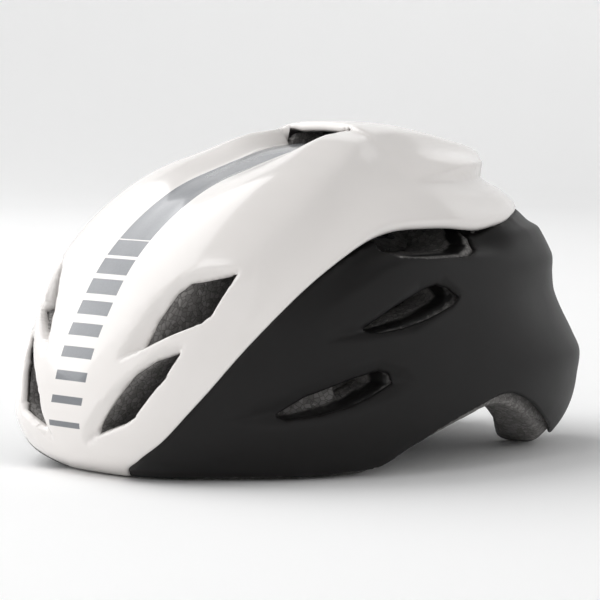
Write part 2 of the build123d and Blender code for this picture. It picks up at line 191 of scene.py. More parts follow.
def above_colour_line(p):
    """Distance above the colour line, measured across it."""
    turn = heading(p)
    lean = (colour_height(turn + 0.5) - colour_height(turn - 0.5)) / 1.95
    return (p[..., 2] - colour_height(turn)) / np.sqrt(1 + lean**2)


ridge_line = through([(-140, 24), (-132, 36), (-127, 43), (-122, 49), (-116, 54), (-105, 59),
                      (-92, 61.5), (-75, 63), (-58, 62.5), (-42, 59), (-18, 50), (2, 40),
                      (25, 33), (55, 29), (90, 25), (130, 22)])


def past_ridge(p):
    """Distance outside the ridge that frames the top, measured across it."""
    y = p[..., 1]
    lean = ridge_line(y + 0.5) - ridge_line(y - 0.5)
    return (np.abs(p[..., 0]) - ridge_line(y)) / np.sqrt(1 + lean**2)


# %% [markdown]
# ## Vents
# Each opening is an outline; the brow vents sit at the end of a dished scoop
# that starts at a point and deepens towards a crisp lower edge. Most of these
# points came from the measuring program; those at the rear are a guess.

# %% Vent outlines
BROW_HIGH = [(34.5, 59.5), (37, 72), (41.5, 83), (45, 86.5), (59, 89.5), (57, 74), (55, 70.5)]
BROW_HIGH_SCOOP = [(23, 50.5), (26, 60), (33, 78), (40, 88), (48, 91.5), (60.5, 92.5), (58.5, 73), (56, 70)]
BROW_LOW = [(18, 21.5), (26.5, 35), (35, 46.5), (43, 53), (51, 56.5), (47, 46), (36.5, 29.5), (33, 27)]
BROW_LOW_SCOOP = [(8, 16), (13, 25), (24, 39), (34, 49.5), (45, 59.5), (53, 61.5), (48, 46),
                  (37, 28.5), (33, 26)]
SIDE_HIGH = [(-23, 112), (-24, 101), (-20, 97), (-4, 95.5), (20, 95.5), (28, 98.5), (32, 104), (32, 112)]
SIDE_MID = [(-48, 65.5), (-30, 74), (-12, 80.5), (-5, 82), (1, 80.5), (6, 76.5),
            (2, 73.5), (-14, 68.5), (-28, 65.5), (-41, 64)]
SIDE_LOW = [(-89, 29.5), (-78, 36.5), (-57, 43.5), (-44, 46.5), (-39, 45), (-37, 41.5),
            (-48, 36.5), (-59, 32.5), (-72, 29.5), (-86, 28)]
SIDE_LOW_SCOOP = [(-112, 26), (-96, 37), (-68, 49), (-44, 53.5), (-30, 48.5), (-25, 41),
                  (-36, 33), (-64, 25), (-90, 22.5)]
SIDE_MID_SCOOP = [(-76, 60), (-48, 71), (-16, 84.5), (0, 86), (10, 78), (0, 70), (-24, 61.5), (-48, 59.5)]
REAR_LOW = [(34, 62), (33, 84), (52, 86), (60, 70)]


def brow(p):
    return np.abs(p[..., 0]), p[..., 2], p[..., 1] < -40


def flank(p):
    return p[..., 1], p[..., 2], np.abs(p[..., 0]) > 40


def vent_distance(p):
    """Distance to the nearest opening in the skins, negative inside one."""
    x, z, front = brow(p)
    best = np.full(x.shape, 50.0)
    for shape in (BROW_HIGH, BROW_LOW):
        best = np.minimum(best, np.where(front, outline(x, z, shape, 0.6), 50))
    y, z, side = flank(p)
    for shape in (SIDE_MID, SIDE_LOW):
        best = np.minimum(best, np.where(side, outline(y, z, shape, 0.5), 50))
    best = np.minimum(best, np.where(p[..., 1] > 60, outline(x, z, REAR_LOW, 1.0), 50))
    return best


def crown_slot(p):
    """The forward-facing mouth of the hood on the crown."""
    x, y = np.abs(p[..., 0]), p[..., 1]
    box = np.maximum(x - 20.5, np.abs(y - 13.6) - 1.2)
    return np.where(p[..., 2] > 120, box, 50)


# %% [markdown]
# ## Pushing the skins in and out
# One function per feature, in millimetres. A valley carries the stripe from
# nose to crown and ends under a small hood. Outside the ridge the flank falls
# away and flares again towards the lip. The tail has a cut-off hood, a pinched
# middle and a flared skirt.

# %% The moulded features
valley_depth = through([(-140, 0), (-131, 0.3), (-122, 2.4), (-106, 4.2), (-75, 6.2), (-50, 7),
                        (-23, 7.6), (13, 8)])
valley_edge = through([(-140, 52), (-100, 48), (-60, 42), (-25, 31), (0, 23.5), (13, 22)])
valley_floor = through([(-140, 2), (-60, 6), (-25, 10), (0, 17), (13, 19)])
tail_profile = through([(0, -1), (20, 0), (32, 1), (43, 2.6), (52, 0), (64, -3.6), (73, -4.8), (81, -3.2),
                        (90, 0), (101, 0), (106, -2.6), (111, -3.6), (114, -4.0), (118, -3.0),
                        (121, -2.0), (129, -0.6), (131.4, 6.2), (135, 5.2), (140, 2.8), (146, 0.8), (149, 0)])
flank_dip = through([(-125, 1.2), (-95, 2.2), (-60, 3.4), (-20, 5.2), (20, 6.5), (60, 6), (110, 3)])


def scoop(u, v, here, shape, rim, depth, run, wall):
    """A dish inside shape that deepens away from the rim line."""
    inside = -outline(u, v, shape)
    deep = depth * (1 - np.exp(-chain(u, v, rim) / run))
    return np.where(here, deep * fade(inside, -0.2, wall), 0)


nose_rise = through([(0, 4.2), (10, 5), (22.7, 4.9), (35, 2.3), (46, 1.1), (56, 0.5), (70, 0)])


def pushed(p):
    """Shared features of both skins, in millimetres outwards."""
    x, y, z = np.abs(p[..., 0]), p[..., 1], p[..., 2]
    floor, edge = valley_floor(y), valley_edge(y)
    behind_hood = fade(y, 12.6, 14.6)
    off = -valley_depth(y) * (1 - fade(x, floor, edge)) * (1 - behind_hood)
    off = off * fade(z, 26, 46)
    # the hood behind the crown mouth swells up
    off = off + 2.3 * fade(y, 12.4, 15) * (1 - fade(y, 30, 80)) * (1 - fade(x, 16, 42))
    # the nose stands a little proud low down
    off = off + np.where(y < 0, nose_rise(z) * (1 - fade(x, 32, 78)), 0)
    # the flank falls away outside the ridge and comes back at the lip
    out = past_ridge(p)
    to_line = above_colour_line(p)
    across = np.maximum(soft_positive(out, 3) + soft_positive(to_line, 4), 1)
    share = np.clip(soft_positive(out, 3.0) / across, 0, 1)
    dip = flank_dip(y) * np.sin(np.pi * share**0.8) ** 1.3
    off = off - np.where(z > 30, dip * fade(z, 30, 60), 0)
    # lower front facets and the turned-under front edge
    off = off - 2.2 * np.exp(-((z - 67) / 22) ** 2) * fade(-y, 60, 110)
    off = off - 3.6 * fade(-z, -14, 2) * fade(-y, 70, 115)
    off = off - 1.8 * np.exp(-((z - 140) / 8) ** 2) * fade(-y, 0, 30)
    # tail
    back = fade(heading(p), 98, 136)
    off = off + tail_profile(z) * back
    return off


def white_push(p):
    x, z, front = brow(p)
    off = pushed(p)
    off = off - scoop(x, z, front, BROW_HIGH_SCOOP, BROW_HIGH_SCOOP[:6], 9, 9, 1.6)
    off = off - scoop(x, z, front, BROW_LOW_SCOOP, BROW_LOW_SCOOP[:6], 8, 8, 1.6)
    # the tail of the lip flares out over the black skin
    off = off + 2.0 * fade(heading(p), 114, 134) * (1 - np.clip(above_colour_line(p) / 14, 0, 1))
    # the lower edge of the lip turns under over the side vents
    tuck = np.clip(1 - above_colour_line(p) / 3.8, 0, 1) * fade(heading(p), 58, 78)
    off = off - 2.8 * (1 - np.sqrt(1 - 0.96 * tuck**2))
    # the hood's front edge rolls down into a thick lip over the crown mouth
    y = p[..., 1]
    roll = np.clip((18.5 - y) / 4.2, 0, 1) * fade(y, 13.4, 14.4)
    roll = roll * (1 - fade(x, 12, 27)) * fade(p[..., 2], 110, 125)
    return off - 4.6 * (1 - np.sqrt(1 - 0.96 * roll**2))


recess_reach = through([(50, 0), (60, 1.5), (72, 6), (90, 7.5), (108, 7), (118, 2), (126, 0)])


def black_push(p):
    y, z, side = flank(p)
    off = pushed(p) - 0.4
    to_line = above_colour_line(p)
    lip = recess_reach(heading(p))
    off = off - lip * (1 - fade(-to_line, 2, 15)) - 1.6 * fade(to_line, -0.3, 1.0)
    dish = -outline(y, z, SIDE_LOW_SCOOP)
    off = off - np.where(side, 3.2 * fade(dish, 0, 9), 0)
    dish = -outline(y, z, SIDE_MID_SCOOP)
    off = off - np.where(side, 3.4 * fade(dish, 0, 7), 0)
    return off


def rim_height(p):
    """Height of the lower edge: flat in front, arched over the ears, lobed behind."""
    y, x = p[..., 1], np.abs(p[..., 0])
    side = ear_line(y)
    nape = 57 * (1 - fade(x, 15, 47)) * fade(y, 70, 100)
    return side + nape


ear_line = through([(-150, 0), (-40, 0.4), (-25, 8.5), (-10, 16), (11, 23.5), (33, 28.5), (47, 25),
                    (66, 14.5), (88, 4), (104, 0.6), (116, 1.0), (130, 8), (150, 24)])
print("hull box mm", HALF_WIDTH * 2, NOSE + TAIL, WAIST + RISE)

# %% [markdown]
# ## From form to skin
# A net of near-equal triangles covers the hull. It is first split along every
# line that has to stay crisp, then trimmed to the wanted region, pushed to its
# moulded shape, and given thickness with a rolled edge. The edge gets its own
# rows of faces because a rolled lip is what makes a thin skin look real.

# %% Cover the hull with triangles
def round_net(rows):
    """Directions and triangles of a sphere divided evenly."""
    g = (1 + 5**0.5) / 2
    tips = np.array([(-1, g, 0), (1, g, 0), (-1, -g, 0), (1, -g, 0), (0, -1, g), (0, 1, g),
                     (0, -1, -g), (0, 1, -g), (g, 0, -1), (g, 0, 1), (-g, 0, -1), (-g, 0, 1)])
    faces = [(0, 11, 5), (0, 5, 1), (0, 1, 7), (0, 7, 10), (0, 10, 11), (1, 5, 9), (5, 11, 4),
             (11, 10, 2), (10, 7, 6), (7, 1, 8), (3, 9, 4), (3, 4, 2), (3, 2, 6), (3, 6, 8),
             (3, 8, 9), (4, 9, 5), (2, 4, 11), (6, 2, 10), (8, 6, 7), (9, 8, 1)]
    spots, tris, base = [], [], 0
    index = {}
    for i in range(rows + 1):
        for j in range(rows + 1 - i):
            index[i, j] = len(index)
    grid = np.array([(rows - i - j, i, j) for i in range(rows + 1) for j in range(rows + 1 - i)]) / rows
    small = [(index[i, j], index[i + 1, j], index[i, j + 1]) for i in range(rows) for j in range(rows - i)]
    small += [(index[i + 1, j], index[i + 1, j + 1], index[i, j + 1])
              for i in range(rows) for j in range(rows - i - 1)]
    small = np.array(small)
    for f in faces:
        spots.append(grid @ tips[list(f)])
        tris.append(small + base)
        base += len(grid)
    spots = np.vstack(spots)
    spots /= np.linalg.norm(spots, axis=1, keepdims=True)
    _, first, back = np.unique(np.round(spots, 6), axis=0, return_index=True, return_inverse=True)
    return spots[first], back.reshape(-1)[np.vstack(tris)]


def cover(rows, centre=(0, 0, 20.0)):
    """Points on the hull for an even net, with the part far below left out."""
    way, tris = round_net(rows)
    keep = (way[:, 2] > -0.5)
    near, far = np.zeros(len(way)), np.full(len(way), 260.0)
    for _ in range(40):
        mid = (near + far) / 2
        inner = hull(np.array(centre) + way * mid[:, None]) < 0
        near, far = np.where(inner, mid, near), np.where(inner, far, mid)
    points = np.array(centre) + way * near[:, None]
    return tidy(points, tris[keep[tris].all(1)])


def tidy(points, tris):
    """Drops unused points."""
    used = np.unique(tris)
    to = np.full(len(points), -1)
    to[used] = np.arange(len(used))
    return points[used], to[tris]


net = cover(92)
print("net", len(net[0]), "points", len(net[1]), "triangles")

# %% Split the net along a line and trim it
def split_along(mesh, field, level=0.0):
    """Adds points and edges where field equals level, moving close ones onto it."""
    points, tris = mesh[0].copy(), mesh[1]
    value = field(points) - level
    edges = np.unique(np.sort(np.vstack([tris[:, [0, 1]], tris[:, [1, 2]], tris[:, [2, 0]]]), 1), axis=0)
    a, b = edges.T
    cross = value[a] * value[b] < 0
    a, b = a[cross], b[cross]
    s = value[a] / (value[a] - value[b])
    for end, close in ((a, s < 0.25), (b, s > 0.75)):
        for k in np.where(close)[0]:
            if value[end[k]] != 0:
                points[end[k]] = points[a[k]] + s[k] * (points[b[k]] - points[a[k]])
                value[end[k]] = 0.0
    cross = value[a] * value[b] < 0
    a, b = a[cross], b[cross]
    s = (value[a] / (value[a] - value[b]))[:, None]
    fresh = points[a] + s * (points[b] - points[a])
    made = {(int(i), int(j)): len(points) + k for k, (i, j) in enumerate(zip(a, b))}
    points = np.vstack([points, fresh])
    value = np.r_[value, np.zeros(len(fresh))]
    signs = np.sign(value)
    mixed = (signs[tris].max(1) > 0) & (signs[tris].min(1) < 0)
    out = []
    for tri in tris[mixed]:
        sides = {1: [], -1: []}
        for k in range(3):
            i, j = int(tri[k]), int(tri[(k + 1) % 3])
            if signs[i] >= 0:
                sides[1].append(i)
            if signs[i] <= 0:
                sides[-1].append(i)
            m = made.get((min(i, j), max(i, j)))
            if m is not None:
                sides[1].append(m)
                sides[-1].append(m)
        for loop in sides.values():
            for k in range(1, len(loop) - 1):
                out.append((loop[0], loop[k], loop[k + 1]))
    tris = np.vstack([tris[~mixed], np.array(out, int).reshape(-1, 3)])
    moved = onto_hull(points, 2)
    return moved, tris


def trim(mesh, field, level=0.0):
    """Keeps only the part where field is above level."""
    points, tris = split_along(mesh, field, level)
    mid = points[tris].mean(1)
    return tidy(points, tris[field(mid) > level])


def boundary(tris):
    """Directed edges that belong to one triangle only."""
    edges = np.vstack([tris[:, [0, 1]], tris[:, [1, 2]], tris[:, [2, 0]]])
    keys = edges[:, 0].astype(np.int64) * 10**7 + edges[:, 1]
    backs = edges[:, 1].astype(np.int64) * 10**7 + edges[:, 0]
    return edges[~np.isin(keys, backs)]


def point_normals(points, tris):
    n = np.zeros(points.shape)
    face = np.cross(points[tris[:, 1]] - points[tris[:, 0]], points[tris[:, 2]] - points[tris[:, 0]])
    for k in range(3):
        np.add.at(n, tris[:, k], face)
    return n / np.maximum(np.linalg.norm(n, axis=1, keepdims=True), 1e-9)


# %% Give a skin its thickness
def shell_from(mesh, push, thick, edge_distance, roll):
    """Pushed outside with the edge rolled in, offset inside, and a single band of wall between them."""
    base, tris = mesh
    normal = hull_normal(base)
    near = np.clip(edge_distance(base), 0, roll)
    rolled = roll - np.sqrt(np.maximum(roll**2 - (roll - near) ** 2, 0))
    outer = base + normal * (push(base) - rolled)[:, None]
    facing = point_normals(outer, tris)
    flip = (facing * normal).sum(1).mean() < 0
    if flip:
        tris = tris[:, ::-1]
        facing = -facing
    blend = facing + normal * 0.6
    blend /= np.linalg.norm(blend, axis=1, keepdims=True)
    inner = outer - blend * thick
    rim = boundary(tris)
    count = len(base)
    points = np.vstack([outer, inner])
    wall = np.vstack([np.c_[rim[:, 1], rim[:, 0], rim[:, 0] + count],
                      np.c_[rim[:, 1], rim[:, 0] + count, rim[:, 1] + count]])
    faces = np.vstack([tris, tris[:, ::-1] + count, wall])
    return points, faces, np.vstack([base, base])


def make_piece(name, points, faces, material, smooth=True):
    """A Blender object from points in millimetres."""
    mesh = bpy.data.meshes.new(name)
    mesh.vertices.add(len(points))
    mesh.vertices.foreach_set("co", (np.asarray(points, float) * MM).ravel())
    if isinstance(faces, np.ndarray):
        sizes = np.full(len(faces), faces.shape[1])
        flat = faces.ravel()
    else:
        sizes = np.array([len(f) for f in faces])
        flat = np.concatenate([np.array(f) for f in faces])
    mesh.loops.add(len(flat))
    mesh.loops.foreach_set("vertex_index", flat.astype(np.int32))
    mesh.polygons.add(len(sizes))
    mesh.polygons.foreach_set("loop_start", np.r_[0, np.cumsum(sizes)[:-1]].astype(np.int32))
    mesh.update(calc_edges=True)
    mesh.validate()
    if smooth:
        mesh.polygons.foreach_set("use_smooth", np.ones(len(mesh.polygons), bool))
    if material:
        mesh.materials.append(material)
    piece = bpy.data.objects.new(name, mesh)
    bpy.context.scene.collection.objects.link(piece)
    print(name, len(mesh.vertices), "points", len(mesh.polygons), "faces")
    return piece


def number_layer(piece, name, values):
    """Stores one number per point for a material to read."""
    layer = piece.data.attributes.new(name, "FLOAT", "POINT")
    layer.data.foreach_set("value", np.asarray(values, np.float32))

# %% [markdown]
# ## Writing finishes as sums
# A finish is a small network. Two helpers keep it readable: one makes any node
# with its settings and inputs, the other lets sockets be added and multiplied
# like numbers.

# %% Sockets that do arithmetic
class Wire:
    def __init__(self, bench, socket):
        self.bench, self.socket = bench, socket

    def _with(self, kind, first, second):
        return self.bench.node("ShaderNodeMath", {"operation": kind}, {0: first, 1: second})

    def __add__(self, other):
        return self._with("ADD", self, other)

    def __radd__(self, other):
        return self._with("ADD", other, self)

    def __sub__(self, other):
        return self._with("SUBTRACT", self, other)

    def __rsub__(self, other):
        return self._with("SUBTRACT", other, self)

    def __mul__(self, other):
        return self._with("MULTIPLY", self, other)

    def __rmul__(self, other):
        return self._with("MULTIPLY", other, self)

    def __truediv__(self, other):
        return self._with("DIVIDE", self, other)

    def __abs__(self):
        return self._with("ABSOLUTE", self, 0.0)

    def under(self, limit, soft):
        """1 below limit, 0 above it, with a soft step."""
        return self.bench.node("ShaderNodeMapRange", {"interpolation_type": "SMOOTHSTEP"},
                               {"Value": self, "From Min": limit - soft, "From Max": limit + soft,
                                "To Min": 1.0, "To Max": 0.0})


class Bench:
    """One material and the nodes laid out on it."""

    def __init__(self, name, base, roughness, **fixed):
        self.material = bpy.data.materials.new(name)
        self.material.use_nodes = True
        self.tree = self.material.node_tree
        self.tree.nodes.clear()
        self.shader = self.tree.nodes.new("ShaderNodeBsdfPrincipled")
        end = self.tree.nodes.new("ShaderNodeOutputMaterial")
        self.tree.links.new(self.shader.outputs[0], end.inputs["Surface"])
        self.set("Base Color", base)
        self.set("Roughness", roughness)
        for key, value in fixed.items():
            self.set(key.replace("_", " "), value)

    def set(self, key, value):
        target = self.shader.inputs[key]
        if isinstance(value, Wire):
            self.tree.links.new(value.socket, target)
        else:
            if isinstance(value, tuple) and len(value) == 3:
                value = (*value, 1.0)
            target.default_value = value

    def node(self, kind, settings=None, inputs=None, out=0):
        made = self.tree.nodes.new(kind)
        for key, value in (settings or {}).items():
            setattr(made, key, value)
        for key, value in (inputs or {}).items():
            socket = made.inputs[key]
            if isinstance(value, Wire):
                self.tree.links.new(value.socket, socket)
            else:
                if isinstance(value, tuple) and len(value) == 3 and socket.type == "RGBA":
                    value = (*value, 1.0)
                socket.default_value = value
        return Wire(self, made.outputs[out])

    def place(self):
        return self.node("ShaderNodeTexCoord", out="Object")

    def axis(self, letter):
        return self.node("ShaderNodeSeparateXYZ", None, {0: self.place()}, out=letter)

    def layer(self, name):
        return self.node("ShaderNodeAttribute", {"attribute_name": name}, None, out="Fac")

    def noise(self, scale, detail=2.0, rough=0.5, where=None, out="Fac"):
        return self.node("ShaderNodeTexNoise", None,
                         {"Vector": where or self.place(), "Scale": scale, "Detail": detail,
                          "Roughness": rough}, out=out)

    def mix(self, share, first, second):
        return self.node("ShaderNodeMix", {"data_type": "RGBA"},
                         {"Factor": share, 6: first, 7: second}, out=2)

    def range(self, value, low, high, to_low, to_high):
        return self.node("ShaderNodeMapRange", None,
                         {"Value": value, "From Min": low, "From Max": high, "To Min": to_low,
                          "To Max": to_high})

    def bump(self, height, depth, strength=1.0):
        normal = self.node("ShaderNodeBump", None,
                           {"Height": height, "Distance": depth, "Strength": strength})
        self.set("Normal", normal)
        return normal


# %% [markdown]
# ## White gloss skin with its stripe
# The white skin is clear-coated, so it mirrors the lights softly. The grey
# stripe down the middle is printed under the coat: solid from the crown, then
# broken into bars that get slimmer towards the nose. A number stored on each
# point, the length along the centre line, makes the bars follow the surface.

# %% White skin finish
STRIPE_HALF = 0.01025
BAR_PITCH, BAR_COUNT = 10.6, 9


def white_finish():
    skin = Bench("white_gloss_skin", (0.8, 0.77, 0.75), 0.2, Coat_Weight=0.5,
                 Coat_Roughness=0.07, Specular_IOR_Level=0.3)
    across = abs(skin.axis("X"))
    along = skin.layer("centre_length")
    count = along / BAR_PITCH
    step = skin.node("ShaderNodeMath", {"operation": "FLOOR"}, {0: count})
    part = count - step
    # how much of each pitch is painted, from nearly all to a sliver
    paint = skin.range(step, 0.0, float(BAR_COUNT - 1), 0.88, 0.24)
    bar = (abs(part - 0.5) - paint * 0.5).under(0.0, 0.012)
    painted = along.under(0.0, 0.15)
    alive = (1 - painted) * (count - float(BAR_COUNT)).under(0.0, 0.01)
    ahead_of_hood = skin.axis("Y").under(0.0133, 0.0002)
    mask = across.under(STRIPE_HALF, 0.00012) * ahead_of_hood * skin.node(
        "ShaderNodeMath", {"operation": "MAXIMUM"}, {0: painted, 1: bar * alive})
    grime = skin.noise(35.0, 4.0)
    white = skin.mix(grime, (0.80, 0.768, 0.745), (0.83, 0.80, 0.778))
    flake = skin.noise(900.0, 2.0)
    grey = skin.mix(flake, (0.165, 0.175, 0.19), (0.195, 0.205, 0.222))
    skin.set("Base Color", skin.mix(mask, white, grey))
    skin.set("Roughness", skin.range(skin.noise(60.0, 3.0), 0.3, 0.7, 0.17, 0.25))
    skin.bump(skin.noise(260.0, 2.0), 0.00002, 0.35)
    return skin.material


def black_finish():
    skin = Bench("black_matte_skin", (0.009, 0.0085, 0.0085), 0.44, Specular_IOR_Level=0.2)
    fine = skin.noise(1400.0, 3.0, 0.7)
    wide = skin.noise(28.0, 3.0)
    skin.set("Base Color", skin.mix(wide, (0.0075, 0.007, 0.007), (0.0115, 0.0107, 0.0105)))
    skin.set("Roughness", skin.range(wide, 0.3, 0.7, 0.42, 0.5) + (fine - 0.5) * 0.08)
    skin.bump(fine, 0.00003, 0.5)
    return skin.material


# %% [markdown]
# ## Bead foam
# The liner is moulded from small beads fused together. Each bead shows as a
# pale cell with a slightly darker seam, which a Voronoi pattern gives at the
# real size of about three millimetres.

# %% Bead foam finish
def foam_finish():
    foam = Bench("bead_foam", (0.14, 0.135, 0.13), 0.78, Specular_IOR_Level=0.3)
    bead = foam.node("ShaderNodeTexVoronoi", {"feature": "F1"},
                     {"Vector": foam.place(), "Scale": 430.0}, out="Distance")
    tint = foam.node("ShaderNodeTexVoronoi", {"feature": "F1"},
                     {"Vector": foam.place(), "Scale": 430.0}, out="Color")
    seam = foam.node("ShaderNodeTexVoronoi", {"feature": "DISTANCE_TO_EDGE"},
                     {"Vector": foam.place(), "Scale": 430.0}, out="Distance")
    tone = foam.node("ShaderNodeSeparateColor", None, {0: tint}, out=0)
    pale = foam.mix(tone, (0.17, 0.163, 0.158), (0.3, 0.29, 0.281))
    edge = seam.under(0.05, 0.05)
    vent_lining_and_shade = foam.layer("vent_lining_and_shade")
    beads = foam.mix(edge * 0.65, pale, (0.09, 0.086, 0.083))
    # near-black glossy vent walls: partly black skin lining, partly painted shade deep in the side vent
    # channels
    foam.set("Base Color", foam.mix(vent_lining_and_shade, beads, (0.011, 0.0105, 0.0105)))
    foam.set("Roughness", foam.range(vent_lining_and_shade, 0.0, 1.0, 0.8, 0.42) + tone * 0.1)
    foam.bump((bead * -0.6 + edge * -0.5) * (1 - vent_lining_and_shade), 0.0005, 0.8)
    return foam.material


white_skin_finish, black_skin_finish, bead_foam = white_finish(), black_finish(), foam_finish()
print("finishes", [m.name for m in bpy.data.materials][:4])

# %% [markdown]
# ## The two skins
# The white skin keeps everything above the colour line, the black skin
# everything below it plus a hidden strip that tucks under the white lip. Both
# stop at the lower edge and at the vents.

# %% White skin
def edge_of_white(p):
    keep = np.minimum(above_colour_line(p), vent_distance(p))
    keep = np.minimum(keep, p[..., 2] - rim_height(p) - 0.6)
    return np.minimum(keep, crown_slot(p))


def edge_of_black(p):
    keep = np.minimum(-above_colour_line(p) + 5.0, vent_distance(p))
    y, z, side = flank(p)
    keep = np.minimum(keep, np.where(side, outline(y, z, SIDE_HIGH, 2.0), 50))
    lift = 0.6 + 2.4 * fade(heading(p), 55, 80)
    return np.minimum(keep, p[..., 2] - rim_height(p) - lift)


mesh = trim(net, lambda p: above_colour_line(p), -0.4)
mesh = split_along(mesh, lambda p: np.where(np.abs(p[..., 0]) < 22, p[..., 1], 99), 12.4)
mesh = split_along(mesh, lambda p: np.where(np.abs(p[..., 0]) < 22, p[..., 1], 99), 14.8)
for level in (129.0, 131.4):
    mesh = split_along(mesh, lambda p: np.where(heading(p) > 105, p[..., 2], 199), level)
for level in (15.6, 16.5, 17.5):
    mesh = split_along(
        mesh, lambda p: np.where((np.abs(p[..., 0]) < 25) & (p[..., 2] > 110), p[..., 1], 99), level)
mesh = split_along(mesh, above_colour_line, 3.6)
for line in (2.0, 0.9, 0.3):
    mesh = split_along(mesh, edge_of_white, line)
mesh = trim(mesh, edge_of_white)
points, faces, base = shell_from(mesh, white_push, 2.2, edge_of_white, 1.3)
white_skin = make_piece("white_skin", points, faces, white_skin_finish)

# length along the centre line, zero where the solid stripe ends
STRIPE_BREAK = -98.0


def lean_angle(p):
    """How far round a point lies, from the foot of the nose over the crown."""
    return np.arctan2(p[..., 2] - 12, -(p[..., 1] + 8))


turn = np.radians(np.linspace(-8, 112, 500))
centre = onto_hull(np.c_[0 * turn, -135 * np.cos(turn), 20 + 129 * np.sin(turn)], 14)
centre = centre + hull_normal(centre) * pushed(centre)[:, None]
length = np.r_[0, np.cumsum(np.linalg.norm(np.diff(centre[:, 1:], axis=0), axis=1))]
start = np.interp(STRIPE_BREAK, centre[:, 1], length)
number_layer(white_skin, "centre_length", start - np.interp(lean_angle(points), lean_angle(centre), length))
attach(white_skin, "helmet")
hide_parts("upper_shell")

# %% Black skin
mesh = trim(net, lambda p: -above_colour_line(p), -6.0)
for line in (-1.0, 0.3):
    mesh = split_along(mesh, above_colour_line, line)
for line in (2.0, 0.9, 0.3):
    mesh = split_along(mesh, edge_of_black, line)
mesh = trim(mesh, edge_of_black)
points, faces, base = shell_from(mesh, black_push, 1.6, edge_of_black, 0.9)
black_skin = make_piece("black_skin", points, faces, black_skin_finish)
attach(black_skin, "helmet")
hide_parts("lower_shell")

# %% [markdown]
# ## Foam liner
# The liner is solid foam with the head's hollow scooped out and air channels
# running through it. A distance field is the natural way to say that: one
# field per shape, joined with rounded corners like a moulded part, then turned
# into a surface and pulled exactly onto the field.

# %% Foam as a distance field
HEAD_WIDE, HEAD_LONG, HEAD_TOP, HEAD_WAIST = 79.0, 101.0, 113.0, 20.0


def head_hollow(p):
    x, y, z = np.abs(p[..., 0]), np.abs(p[..., 1] - 2), p[..., 2]
    up = np.clip((z - HEAD_WAIST) / (HEAD_TOP - HEAD_WAIST), 0, 3)
    return (x / HEAD_WIDE) ** 2.1 + (y / HEAD_LONG) ** 2.1 + up**2 - 1


def measured(field, p):
    """A field turned into roughly millimetres."""
    g = slope_of(field, p, 0.2)
    return field(p) / np.maximum(np.linalg.norm(g, axis=-1), 2e-3)


def round_max(a, b, radius):
    h = np.clip(0.5 + 0.5 * (a - b) / radius, 0, 1)
    return b + (a - b) * h + radius * h * (1 - h)


def foam_field(p):
    x, y, z = np.abs(p[..., 0]), p[..., 1], p[..., 2]
    skin = np.minimum(white_push(p), black_push(p)) - 2.6
    # a little more room under the black skin where it is pressed in below the lip
    skin = skin - 0.28 * recess_reach(heading(p))
    body = measured(hull, p) - skin
    lower = 2.2 * fade(y, -45, -15)
    body = round_max(body, np.maximum(rim_height(p) - lower, 0.3) - z, 3.0)
    body = round_max(body, -measured(head_hollow, p), 3.0)
    channels = np.full(x.shape, 50.0)
    front, side = y < -40, x > 24
    for shape in (BROW_HIGH, BROW_LOW):
        channels = np.minimum(channels, np.where(front, outline(x, z, shape, 1.0), 50))
    under = skin - measured(hull, p)
    for shape in (SIDE_MID, SIDE_LOW, SIDE_HIGH):
        blind = np.where(y < -50, under - 17, -50)
        rounding = 2.0 if shape is SIDE_HIGH else 0.9
        channels = np.minimum(channels, np.where(side, np.maximum(outline(y, z, shape, rounding), blind), 50))
    channels = np.minimum(channels, np.where(y > 32, outline(x, z, REAR_LOW, 1.4), 50))
    mouth = np.maximum(np.maximum(x - 19, np.abs(y - 25) - 16), 96 - z)
    channels = np.minimum(channels, mouth)
    return round_max(body, -channels, 1.6)


# %% Foam surface


def surface_of(field, low, high, voxel):
    """Points and four-sided faces where a field is zero, mirrored left to right."""
    half = np.arange(0, high[0] + voxel, voxel)
    xs = np.r_[-half[:0:-1], half]
    ys = np.arange(low[1], high[1] + voxel, voxel)
    zs = np.arange(low[2], high[2] + voxel, voxel)
    block = np.empty((len(half), len(ys), len(zs)), np.float32)
    for i, x in enumerate(half):
        p = np.stack(np.meshgrid([x], ys, zs, indexing="ij"), -1)[0]
        block[i] = np.clip(field(p), -3 * voxel, 3 * voxel)
    block = np.concatenate([block[:0:-1], block])
    grid = openvdb.FloatGrid(background=3 * voxel)
    grid.copyFromArray(block)
    spots, tris, quads = grid.convertToPolygons(isovalue=0.0, adaptivity=0.0)
    spots = np.asarray(spots, float) * voxel + np.array([xs[0], ys[0], zs[0]])
    for _ in range(3):
        g = slope_of(field, spots, 0.3)
        move = g * (field(spots) / np.maximum((g * g).sum(-1), 0.2))[:, None]
        size = np.linalg.norm(move, axis=1, keepdims=True)
        spots = spots - move * np.minimum(1, 0.8 / np.maximum(size, 1e-9))
    faces = [tuple(int(k) for k in f) for f in quads] + [tuple(int(k) for k in f) for f in tris]
    return spots, faces


voxel = 2.1
spots, faces = surface_of(foam_field, (-106, -140, -3), (106, 148, 150), voxel)
total = sum(np.dot(spots[f[0]], np.cross(spots[f[1]], spots[f[2]])) for f in faces)
if total < 0:
    faces = [f[::-1] for f in faces]
foam_liner = make_piece("foam_liner", spots, faces, bead_foam)
# the first 15 mm or so of each side vent has a near-black lining: partly the black skin carried into the
# channel, partly painted shade for the dark deep channels
gap = np.full(len(spots), 9.0)
for shape in (SIDE_MID, SIDE_LOW, SIDE_HIGH):
    to_vent = outline(spots[:, 1], spots[:, 2], shape, 0.9)
    gap = np.minimum(gap, np.where(np.abs(spots[:, 0]) > 24, to_vent, 9))
depth = np.minimum(white_push(spots), black_push(spots)) - measured(hull, spots)
number_layer(foam_liner, "vent_lining_and_shade", (1 - fade(gap, 1.2, 1.8)) * (1 - fade(depth, 15, 16)))
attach(foam_liner, "helmet")
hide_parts("eps_liner")

